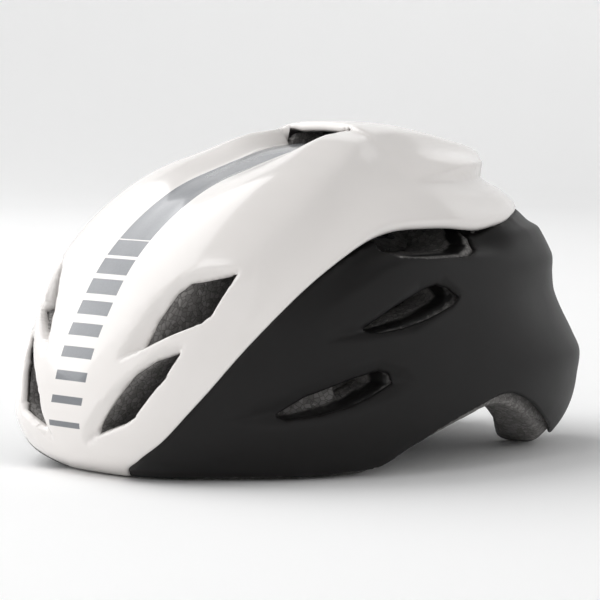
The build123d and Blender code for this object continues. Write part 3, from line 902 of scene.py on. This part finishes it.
# %% [markdown]
# ## Finishes for the fittings
# Moulded plastic has a fine spark texture and slightly uneven gloss; rubber is
# duller and grainier; gears are waxy acetal; screws are brushed steel. Hook
# tape is a field of tiny hooks. Each finish is painted on the CAD node as it is.

# %% Plastic, rubber, steel and hook tape
def moulded(name, colour, roughness, grain=1400.0, depth=0.00003, shine=0.45, spread=0.12):
    bench = Bench(name, colour, roughness, Specular_IOR_Level=shine)
    patch = bench.noise(55.0, 4.0)
    lighter = tuple(c * (1 + spread) + 0.0015 for c in colour)
    darker = tuple(c * (1 - spread) for c in colour)
    bench.set("Base Color", bench.mix(patch, darker, lighter))
    scuff = bench.noise(9.0, 6.0, 0.7)
    bench.set("Roughness", bench.range(scuff, 0.25, 0.75, roughness - 0.07, roughness + 0.1))
    bench.bump(bench.noise(grain, 3.0, 0.6), depth, 0.6)
    return bench.material


def dotted(name, colour, pitch, depth, roughness, shine):
    """A fine field of raised dots, for hook tape and for rubber grip, with a painted highlight on each dot
    and painted shade between the dots.
    """
    bench = Bench(name, colour, roughness, Specular_IOR_Level=shine)
    cells = bench.node("ShaderNodeTexVoronoi", {"feature": "F1"},
                       {"Vector": bench.place(), "Scale": 1.0 / pitch, "Randomness": 0.15}, out="Distance")
    # painted light: the dot tops get a lighter copy of the colour as a painted highlight, and the gaps a
    # darker copy as painted shade
    painted_highlight_on_dots = tuple(c * 1.5 + 0.004 for c in colour)
    painted_shade_between_dots = tuple(c * 0.45 for c in colour)
    bench.set("Base Color", bench.mix(cells, painted_highlight_on_dots, painted_shade_between_dots))
    bench.set("Roughness", bench.range(bench.noise(80.0, 3.0), 0.3, 0.7, roughness - 0.06, roughness + 0.06))
    bench.bump(1 - cells, depth, 0.8)
    return bench.material


def brushed_steel():
    bench = Bench("screw_steel", (0.62, 0.61, 0.6), 0.3, Metallic=1.0)
    rings = bench.node("ShaderNodeTexNoise", None, {"Vector": bench.place(), "Scale": 2600.0, "Detail": 3.0})
    bench.set("Base Color", bench.mix(rings, (0.5, 0.49, 0.48), (0.68, 0.67, 0.66)))
    bench.set("Roughness", bench.range(rings, 0.3, 0.7, 0.24, 0.4))
    bench.bump(rings, 0.00001, 0.4)
    return bench.material


FITTINGS = {
    moulded("anchor_plastic", (0.014, 0.014, 0.0145), 0.5): ["strap_anchors"],
    moulded("hard_black", (0.011, 0.011, 0.0115), 0.36): [
        "divider_left", "divider_right", "divider_lever_left", "divider_lever_right", "buckle_socket",
        "buckle_plug"],
    moulded("cradle_plastic", (0.02, 0.0205, 0.0215), 0.48): [
        "height_rail", "cradle_frame", "dial_housing", "belt_left", "belt_right"],
    moulded("dial_plastic", (0.2, 0.205, 0.215), 0.33): ["dial_knob", "dial_cap"],
    moulded("gear_plastic", (0.62, 0.6, 0.55), 0.38, 900.0): ["pinion", "ratchet_ring"],
    dotted("rubber_black", (0.013, 0.013, 0.013), 0.0009, 0.00014, 0.66, 0.3): ["strap_keeper", "dial_grip"],
    dotted("hook_tape", (0.028, 0.028, 0.03), 0.0007, 0.0004, 0.85, 0.1): ["hook_dots"],
    brushed_steel(): ["housing_screws"],
}
for finish, names in FITTINGS.items():
    for name in names:
        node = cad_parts[name]
        node.data.materials.clear()
        node.data.materials.append(finish)
print("fittings painted", sum(len(n) for n in FITTINGS.values()))

# %% [markdown]
# ## A row of stitches
# Thread is a row of short rounded stitches laid along a line. A small geometry
# network lays them: it walks the line, drops one stitch every so often, turns
# it along the line, and fuses the lot into a plain mesh.

# %% Stitch network
def thread_network():
    tree = bpy.data.node_groups.new("stitch_row", "GeometryNodeTree")
    face = tree.interface
    face.new_socket("Line", in_out="INPUT", socket_type="NodeSocketGeometry")
    for name, value in (("Spacing", 0.0026), ("Stitch length", 0.0019), ("Thread radius", 0.00028)):
        face.new_socket(name, in_out="INPUT", socket_type="NodeSocketFloat").default_value = value
    face.new_socket("Thread", in_out="INPUT", socket_type="NodeSocketMaterial")
    face.new_socket("Stitches", in_out="OUTPUT", socket_type="NodeSocketGeometry")

    def put(kind, settings=None, inputs=None):
        made = tree.nodes.new(kind)
        for key, value in (settings or {}).items():
            setattr(made, key, value)
        for key, value in (inputs or {}).items():
            if isinstance(value, bpy.types.NodeSocket):
                tree.links.new(value, made.inputs[key])
            else:
                made.inputs[key].default_value = value
        return made

    start = put("NodeGroupInput").outputs
    curve = put("GeometryNodeMeshToCurve", None, {"Mesh": start["Line"]})
    walk = put("GeometryNodeResampleCurve", {"mode": "LENGTH"},
               {"Curve": curve.outputs[0], "Length": start["Spacing"]})
    tangent = put("GeometryNodeInputTangent")
    turn = put("FunctionNodeAlignRotationToVector", {"axis": "Z"}, {"Vector": tangent.outputs[0]})
    ball = put("GeometryNodeMeshUVSphere", None, {"Segments": 8, "Rings": 6, "Radius": 1.0})
    half = put("ShaderNodeMath", {"operation": "MULTIPLY"}, {0: start["Stitch length"], 1: 0.5})
    size = put("ShaderNodeCombineXYZ", None,
               {0: start["Thread radius"], 1: start["Thread radius"], 2: half.outputs[0]})
    laid = put("GeometryNodeInstanceOnPoints", None,
               {"Points": walk.outputs[0], "Instance": ball.outputs["Mesh"], "Rotation": turn.outputs[0],
                "Scale": size.outputs[0]})
    fused = put("GeometryNodeRealizeInstances", None, {"Geometry": laid.outputs[0]})
    smooth = put("GeometryNodeSetShadeSmooth", None, {"Geometry": fused.outputs[0]})
    dressed = put("GeometryNodeSetMaterial", None,
                  {"Geometry": smooth.outputs[0], "Material": start["Thread"]})
    put("NodeGroupOutput", None, {"Stitches": dressed.outputs[0]})
    return tree


STITCH_ROW = thread_network()
sockets = {s.name: s.identifier for s in STITCH_ROW.interface.items_tree if s.in_out == "INPUT"}
print("stitch network inputs", sorted(sockets))


# %% Lay stitches and keep the plain mesh
def line_mesh(paths):
    """Edges only: each path is a list of points in millimetres, closed or open."""
    points, edges = [], []
    for path, closed in paths:
        base = len(points)
        points += [tuple(np.asarray(p) * MM) for p in path]
        edges += [(base + i, base + i + 1) for i in range(len(path) - 1)]
        if closed:
            edges.append((base + len(path) - 1, base))
    mesh = bpy.data.meshes.new("line")
    mesh.from_pydata(points, edges, [])
    return mesh


def stitched(name, paths, thread, spacing=2.6, length=1.9, radius=0.28):
    holder = bpy.data.objects.new(name + "_line", line_mesh(paths))
    bpy.context.scene.collection.objects.link(holder)
    change = holder.modifiers.new("stitches", "NODES")
    change.node_group = STITCH_ROW
    change[sockets["Spacing"]] = spacing * MM
    change[sockets["Stitch length"]] = length * MM
    change[sockets["Thread radius"]] = radius * MM
    change[sockets["Thread"]] = thread
    seen = holder.evaluated_get(bpy.context.evaluated_depsgraph_get())
    mesh = bpy.data.meshes.new_from_object(seen)
    bpy.data.objects.remove(holder)
    mesh.name = name
    piece = bpy.data.objects.new(name, mesh)
    bpy.context.scene.collection.objects.link(piece)
    print(name, len(mesh.polygons), "faces")
    return piece


# %% [markdown]
# ## Comfort pads
# A helmet pad is a slab of soft foam between two layers of brushed knit. Its
# edge is welded flat, so it has a thin border, a seam, and a crowned middle
# with a pressed channel. Each pad is laid on the wall of the head hollow, then
# blown up a little as real cloth so that it puckers along its seam.

# %% Knit and thread finishes
def knit_finish():
    bench = Bench("pad_knit", (0.02, 0.02, 0.022), 0.92, Specular_IOR_Level=0.15, Sheen_Weight=0.5,
                  Sheen_Roughness=0.5, Sheen_Tint=(0.5, 0.5, 0.52))
    across, along = bench.layer("across_mm"), bench.layer("along_mm")
    spot = bench.node("ShaderNodeCombineXYZ", None, {0: across, 1: along, 2: 0.0})
    cells = bench.node("ShaderNodeTexVoronoi", {"feature": "F1"},
                       {"Vector": spot, "Scale": 0.85, "Randomness": 0.0}, out="Distance")
    holes = cells.under(0.2, 0.07)
    loops = bench.node("ShaderNodeTexWave", {"bands_direction": "X"},
                       {"Vector": spot, "Scale": 0.9, "Distortion": 1.2, "Detail": 2.0}, out="Fac")
    yarn = bench.noise(700.0, 4.0, 0.6)
    knit = bench.mix(yarn, (0.014, 0.014, 0.0155), (0.036, 0.036, 0.039))
    bench.set("Base Color", bench.mix(holes, knit, (0.004, 0.004, 0.004)))
    bench.set("Roughness", bench.range(yarn, 0.3, 0.7, 0.84, 0.97))
    bench.bump(loops * 0.35 + yarn * 0.4 - holes * 1.0, 0.00025, 0.7)
    return bench.material


def thread_finish(name, colour):
    bench = Bench(name, colour, 0.7, Sheen_Weight=0.3)
    twist = bench.noise(2500.0, 2.0)
    bench.set("Base Color", bench.mix(twist, tuple(c * 0.7 for c in colour), tuple(c * 1.25 for c in colour)))
    bench.set("Roughness", bench.range(twist, 0.3, 0.7, 0.6, 0.8))
    bench.bump(twist, 0.00004, 0.6)
    return bench.material


pad_knit = knit_finish()
grey_thread = thread_finish("grey_thread", (0.16, 0.165, 0.175))


# %% Where a pad lies on the hollow
def on_hollow(facing, u, v):
    """A point of the head hollow seen straight from inside: over, ahead, left, right or flat behind."""
    if facing == "over":
        left = np.clip(1 - (np.abs(u) / HEAD_WIDE) ** 2.1 - (np.abs(v - 2) / HEAD_LONG) ** 2.1, 0.01, 1)
        return np.stack([u, v, HEAD_WAIST + (HEAD_TOP - HEAD_WAIST) * np.sqrt(left)], -1)
    up = np.clip((v - HEAD_WAIST) / (HEAD_TOP - HEAD_WAIST), 0, 1)
    if facing == "ahead":
        left = np.clip(1 - (np.abs(u) / HEAD_WIDE) ** 2.1 - up**2, 0.01, 1)
        return np.stack([u, 2 - HEAD_LONG * left ** (1 / 2.1), v], -1)
    if facing == "behind":
        return np.stack([u, np.full(np.shape(u), NAPE_BACK), v], -1)
    side = 1 if facing == "left" else -1
    left = np.clip(1 - (np.abs(u - 2) / HEAD_LONG) ** 2.1 - up**2, 0.01, 1)
    return np.stack([side * HEAD_WIDE * left ** (1 / 2.1), u, v], -1)


NAPE_BACK = 80.2


def inward(facing, p):
    if facing == "behind":
        return np.broadcast_to(np.array([0.0, -1.0, 0.0]), p.shape)
    g = slope_of(head_hollow, p, 0.2)
    return -g / np.linalg.norm(g, axis=-1, keepdims=True)


def pad_form(size, rows, columns):
    """Flat spots of a rounded slab: places in the pad and how full it is there."""
    s, t = np.meshgrid(np.linspace(-1, 1, columns), np.linspace(-1, 1, rows))
    reach = np.maximum(np.abs(s), np.abs(t))
    bend = 4.0 + 4 * (1 - reach)
    squeeze = 1 / np.maximum((np.abs(s / np.maximum(reach, 1e-6)) ** bend
                              + np.abs(t / np.maximum(reach, 1e-6)) ** bend) ** (1 / bend), 1)
    u, v = s * squeeze * size[0] / 2, t * squeeze * size[1] / 2
    inside = (1 - reach) * min(size) / 2
    return u, v, inside


# %% Build and inflate a pad
def pad_mesh(name, facing, centre, size, channel):
    rows, columns = int(size[1] / 0.9) // 2 * 2 + 1, int(size[0] / 0.9) // 2 * 2 + 1
    u, v, inside = pad_form(size, rows, columns)
    crown = np.sqrt(1 - (1 - np.clip((inside - 1.1) / (min(size) * 0.36), 0, 1)) ** 2)
    long_way = v if size[1] > size[0] else u
    for place in channel:
        crown = crown * (1 - 0.5 * np.exp(-((long_way - place) / 0.9) ** 2) * fade(inside, 0.8, 2.2))
    base = on_hollow(facing, u + centre[0], v + centre[1])
    into = inward(facing, base)
    back = base + into * 1.35
    face = base + into * (1.9 + 4.1 * crown)[..., None]
    rim = inside < 1e-6
    face[rim] = (base + into * 1.6)[rim]
    count = rows * columns
    grid = np.arange(count).reshape(rows, columns)
    other = grid + count
    other[rim] = grid[rim]
    quads = np.stack([grid[:-1, :-1], grid[:-1, 1:], grid[1:, 1:], grid[1:, :-1]], -1).reshape(-1, 4)
    under = np.stack([other[:-1, :-1], other[1:, :-1], other[1:, 1:], other[:-1, 1:]], -1).reshape(-1, 4)
    points = np.r_[face.reshape(-1, 3), back.reshape(-1, 3)]
    faces = np.r_[quads, under]
    out = np.einsum("ij,ij->i", np.cross(points[quads[:, 1]] - points[quads[:, 0]],
                                         points[quads[:, 2]] - points[quads[:, 0]]),
                    into.reshape(-1, 3)[quads[:, 0]])
    if out.sum() < 0:
        faces = faces[:, ::-1]
    used = np.unique(faces)
    renumber = np.full(len(points), -1)
    renumber[used] = np.arange(len(used))
    piece = make_piece(name, points[used], renumber[faces], pad_knit)
    number_layer(piece, "across_mm", np.tile(u.ravel(), 2)[used])
    number_layer(piece, "along_mm", np.tile(v.ravel(), 2)[used])
    held = np.tile(((inside < 1.3)).ravel(), 2)
    held[count:] = True
    edge = [grid[0, :], grid[1:, -1], grid[-1, -2::-1], grid[-2:0:-1, 0]]
    loop = np.concatenate(edge)
    seam = points[loop] + (base + into * 2.1 - points[:count].reshape(base.shape)).reshape(-1, 3)[loop]
    middle = points[np.argmin(np.abs(u).ravel() + np.abs(v).ravel())]
    seam = seam + (middle - seam) / np.linalg.norm(middle - seam, axis=1, keepdims=True) * 0.9
    return piece, held[used], seam


def inflate(piece, held, cap=0.7):
    """Blows the pad up as cloth and keeps how it puckers, within a cap."""
    start = np.array([v.co for v in piece.data.vertices])
    group = piece.vertex_groups.new(name="held")
    group.add([int(i) for i in np.nonzero(held)[0]], 1.0, "REPLACE")
    cloth = piece.modifiers.new("cloth", "CLOTH")
    cloth.settings.quality = 4
    cloth.settings.mass = 0.02
    cloth.settings.use_pressure = True
    cloth.settings.uniform_pressure_force = 4.0
    cloth.settings.vertex_group_mass = "held"
    cloth.settings.shrink_min = -0.05
    cloth.settings.effector_weights.gravity = 0.0
    cloth.point_cache.frame_end = 20
    for step in range(1, 21):
        bpy.context.scene.frame_set(step)
    seen = piece.evaluated_get(bpy.context.evaluated_depsgraph_get())
    end = np.array([v.co for v in seen.data.vertices])
    piece.modifiers.remove(cloth)
    piece.vertex_groups.clear()
    bpy.context.scene.frame_set(1)
    move = end - start
    size = np.linalg.norm(move, axis=1, keepdims=True)
    move = move * np.minimum(1, cap * MM / np.maximum(size, 1e-9))
    piece.data.vertices.foreach_set("co", (start + np.nan_to_num(move)).ravel())
    piece.data.update()
    print(piece.name, "puffed by up to", round(float(np.linalg.norm(move, axis=1).max() * 1000), 2), "mm")


PADS = [("brow_pad", "ahead", (0, 27), (72, 20), (-18, 0, 18), "helmet"),
        ("crown_pad", "over", (0, -20), (26, 50), (-9, 9), "helmet"),
        ("top_pad_left", "over", (33, -8), (16, 74), (-18, 0, 18), "helmet"),
        ("top_pad_right", "over", (-33, -8), (16, 74), (-18, 0, 18), "helmet"),
        ("side_pad_left", "left", (30, 75), (40, 15), (0,), "helmet"),
        ("side_pad_right", "right", (30, 75), (40, 15), (0,), "helmet"),
        ("nape_pad_left", "behind", (19, 33), (17, 15), (), "cradle"),
        ("nape_pad_right", "behind", (-19, 33), (17, 15), (), "cradle")]
seams = {"helmet": [], "cradle": []}
for name, facing, centre, size, channel, body in PADS:
    pad, held, seam = pad_mesh(name + "_cloth", facing, centre, size, channel)
    inflate(pad, held)
    finer = pad.modifiers.new("finer", "SUBSURF")
    finer.levels = finer.render_levels = 1
    seams[body].append((seam, True))
    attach(pad, body)
    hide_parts(name)
for body, paths in seams.items():
    row = stitched(body + "_pad_stitches", paths, grey_thread, 2.4, 1.7, 0.2)
    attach(row, body)

# %% [markdown]
# ## Webbing harness
# Each strap is flat woven polyester: a diagonal twill across the middle and a
# thicker rounded selvedge at both edges. Each leg carries one box-stitched
# patch, and each chin strap two rows of bar stitches.

# %% Webbing finish
def webbing_finish():
    bench = Bench("webbing_black", (0.02, 0.02, 0.02), 0.75, Specular_IOR_Level=0.25, Sheen_Weight=0.3,
                  Sheen_Roughness=0.4)
    across, along = bench.layer("across_mm"), bench.layer("along_mm")
    slant = along * 1.1 + abs(across) * 1.1
    twill = bench.node("ShaderNodeMath", {"operation": "SINE"}, {0: slant * 5.2})
    warp = bench.node("ShaderNodeMath", {"operation": "SINE"}, {0: across * 7.5})
    fibre = bench.noise(1500.0, 3.0)
    weave = twill * 0.3 + warp * 0.25 + 0.5
    bench.set("Base Color", bench.mix(weave, (0.008, 0.008, 0.008), (0.034, 0.034, 0.036)))
    bench.set("Roughness", bench.range(fibre, 0.3, 0.7, 0.66, 0.85))
    bench.bump(weave + fibre * 0.3, 0.00022, 0.8)
    return bench.material


webbing_black = webbing_finish()


# %% Strap shapes
def ribbon(name, path, width, thick, facing):
    """A strap along a path; facing is the way its flat side looks at each end."""
    path = np.asarray(path, float)
    length = np.r_[0, np.cumsum(np.linalg.norm(np.diff(path, axis=0), axis=1))]
    spots = np.linspace(0, length[-1], max(int(length[-1] / 0.8), 8))
    line = np.stack([np.interp(spots, length, path[:, k]) for k in range(3)], -1)
    for _ in range(12):
        line[1:-1] = (line[:-2] + 2 * line[1:-1] + line[2:]) / 4
    ahead = np.gradient(line, axis=0)
    ahead /= np.linalg.norm(ahead, axis=1, keepdims=True)
    share = (spots / spots[-1])[:, None]
    up = np.asarray(facing[0]) * (1 - share) + np.asarray(facing[1]) * share
    up = up - ahead * np.sum(up * ahead, axis=1, keepdims=True)
    up /= np.linalg.norm(up, axis=1, keepdims=True)
    side = np.cross(ahead, up)
    w = np.linspace(-1, 1, 19)
    swell = thick / 2 * (0.78 + 0.3 * np.exp(-((np.abs(w) - 0.88) / 0.07) ** 2))
    swell[[0, -1]] = thick * 0.16
    ring_u = np.r_[w, w[-2:0:-1]] * width / 2
    ring_h = np.r_[swell, -swell[-2:0:-1]]
    ripple = 0.12 * np.sin(spots / 3.1)[:, None]
    points = (line[:, None, :] + side[:, None, :] * ring_u[None, :, None]
              + up[:, None, :] * (ring_h[None, :] + ripple * 0.5)[..., None])
    n, m = points.shape[:2]
    grid = np.arange(n * m).reshape(n, m)
    after = np.roll(grid, -1, axis=1)
    faces = np.stack([grid[:-1], after[:-1], after[1:], grid[1:]], -1).reshape(-1, 4)
    caps = [list(grid[0][::-1]), list(grid[-1])]
    piece = make_piece(name, points.reshape(-1, 3), [list(map(int, f)) for f in faces] + caps, webbing_black)
    number_layer(piece, "across_mm", np.tile(ring_u, n))
    number_layer(piece, "along_mm", np.repeat(spots, m))
    return piece, line, side, up


# %% Place the straps
DIVIDER_X, DIVIDER_Y = 53.0, 4
ANCHOR_X, FRONT_ANCHOR_Y, REAR_ANCHOR_Y = 64.3, -38.0, 42.0
STRAP_HEIGHT = 52.0
LEG_WIDTH, CHIN_WIDTH, WEB_THICKNESS = 13.0, 15.0, 1.5
PATCH_START, PATCH_END = 0.62, 0.86


def strap_path(side, along):
    start = np.array([side * DIVIDER_X, DIVIDER_Y + (5 if along > 0 else -5), STRAP_HEIGHT])
    end = np.array([side * ANCHOR_X, along, STRAP_HEIGHT])
    run = end - start
    return [start + run * t + np.array([0, 0, rise]) for t, rise in
            ((0, 0), (0.2, 0.1), (0.45, 1.0), (0.6, 1.6), (0.8, 2.4), (1.0, 3.0))]


box_stitches = []
for side, name in ((1, "left"), (-1, "right")):
    for along, which in ((FRONT_ANCHOR_Y, "front"), (REAR_ANCHOR_Y, "rear")):
        strap, line, across, up = ribbon(f"{which}_strap_{name}_web", strap_path(side, along),
                                         LEG_WIDTH, WEB_THICKNESS, ((0, 0, 1), (0, 0, 1)))
        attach(strap, "helmet")
        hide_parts(f"{which}_strap_{name}")
        a, b = int(len(line) * PATCH_START), int(len(line) * PATCH_END)
        corners = [line[a] - across[a] * 4.6, line[b] - across[b] * 4.6, line[b] + across[b] * 4.6,
                   line[a] + across[a] * 4.6]
        lift = up[a] * 0.72
        box_stitches.append(([c + lift for c in corners], True))
        box_stitches.append(([corners[0] + lift, corners[2] + lift], False))
        box_stitches.append(([corners[1] + lift, corners[3] + lift], False))
for name, ends in (("left", (12.0, 41.0)), ("right", (-41.0, -9.0))):
    path = [(end, DIVIDER_Y, STRAP_HEIGHT) for end in ends]
    strap, line, across, up = ribbon(f"chin_strap_{name}_web", path, CHIN_WIDTH, WEB_THICKNESS,
                                     ((0, 0, 1), (0, 0, 1)))
    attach(strap, "helmet")
    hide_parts(f"chin_strap_{name}")
    for x in ((30.5, 38.0) if name == "left" else (-38.0, -30.5)):
        box_stitches.append(([(x, 4 - 5.5, 52.74), (x, 4 + 5.5, 52.74)], False))
strap_rows = stitched("strap_stitches", box_stitches, grey_thread, 1.9, 1.4, 0.2)
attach(strap_rows, "helmet")


# %% [markdown]
# ## Floor, light and camera
# A pale studio: a matte floor that sweeps up into a faintly glowing wall, one
# large soft light, one small light for a sparkle, a dim white world, and a
# long lens from the front left, a little above the rim. The place of the
# camera and its lens came from the same fit as the hull.

# %% Studio
def area_light(name, place, aim, size, power):
    lamp = bpy.data.lights.new(name, "AREA")
    lamp.shape = "RECTANGLE"
    lamp.size, lamp.size_y = size
    lamp.energy = power
    thing = bpy.data.objects.new(name, lamp)
    thing.location = place
    thing.rotation_euler = (Vector(aim) - Vector(place)).to_track_quat("-Z", "Y").to_euler()
    thing.visible_camera = False
    bpy.context.scene.collection.objects.link(thing)
    return thing


def cove(flat, reach, height, rings=40, spokes=96):
    """A round studio floor that sweeps up into its wall without a line."""
    share = np.linspace(0, 1, rings)
    radius = np.r_[0.35 * flat, 0.7 * flat, flat + (reach - flat) * np.sin(share * math.pi / 2)]
    lift = np.r_[0, 0, height * (1 - np.cos(share * math.pi / 2))]
    turn = np.linspace(0, 2 * math.pi, spokes, endpoint=False)
    points = np.stack([radius[:, None] * np.cos(turn), radius[:, None] * np.sin(turn),
                       np.repeat(lift[:, None], spokes, 1)], -1).reshape(-1, 3)
    grid = np.arange(len(points)).reshape(len(radius), spokes)
    after = np.roll(grid, -1, axis=1)
    quads = np.stack([grid[:-1], grid[1:], after[1:], after[:-1]], -1).reshape(-1, 4)
    faces = [list(map(int, f)) for f in quads]
    return points, faces + [list(map(int, grid[0]))]


floor_finish = Bench("pale_floor", (0.93, 0.93, 0.93), 0.9, Emission_Strength=1.0)
rise = floor_finish.range(floor_finish.layer("out_m"), 2.2, 5.5, 0.0, 1.0)
floor_finish.set("Emission Color", floor_finish.mix(rise, (0.0, 0.0, 0.0), (0.43, 0.43, 0.43)))
points, faces = cove(2500.0, 6500.0, 5000.0)
floor = make_piece("floor", points, faces, floor_finish.material)
number_layer(floor, "out_m", np.linalg.norm(points[:, :2], axis=1) / 1000)
world = bpy.data.worlds.new("studio")
world.use_nodes = True
world.node_tree.nodes["Background"].inputs[0].default_value = (1, 1, 1, 1)
world.node_tree.nodes["Background"].inputs[1].default_value = 0.3
bpy.context.scene.world = world
area_light("key", (-1.65, -0.5, 1.65), (0, 0, 0.06), (2.6, 2.6), 50)
area_light("sparkle", (0.15, -0.75, 1.2), (0, 0, 0.06), (0.5, 0.3), 1.6)
bpy.context.scene.view_settings.view_transform = "Standard"

LOOK_AT = np.array([0, 0.002, 0.069])
TURN, LIFT, AWAY = math.radians(46.35), math.radians(4.74), 1.392
back = np.array([math.sin(TURN) * math.cos(LIFT), -math.cos(TURN) * math.cos(LIFT), math.sin(LIFT)])
lens = bpy.data.cameras.new("camera")
lens.sensor_width, lens.lens = 36.0, 180.7
lens.clip_end = 50
camera = bpy.data.objects.new("camera", lens)
camera.location = LOOK_AT + back * AWAY
camera.rotation_euler = Vector(-back).to_track_quat("-Z", "Y").to_euler()
bpy.context.scene.collection.objects.link(camera)
bpy.context.scene.camera = camera
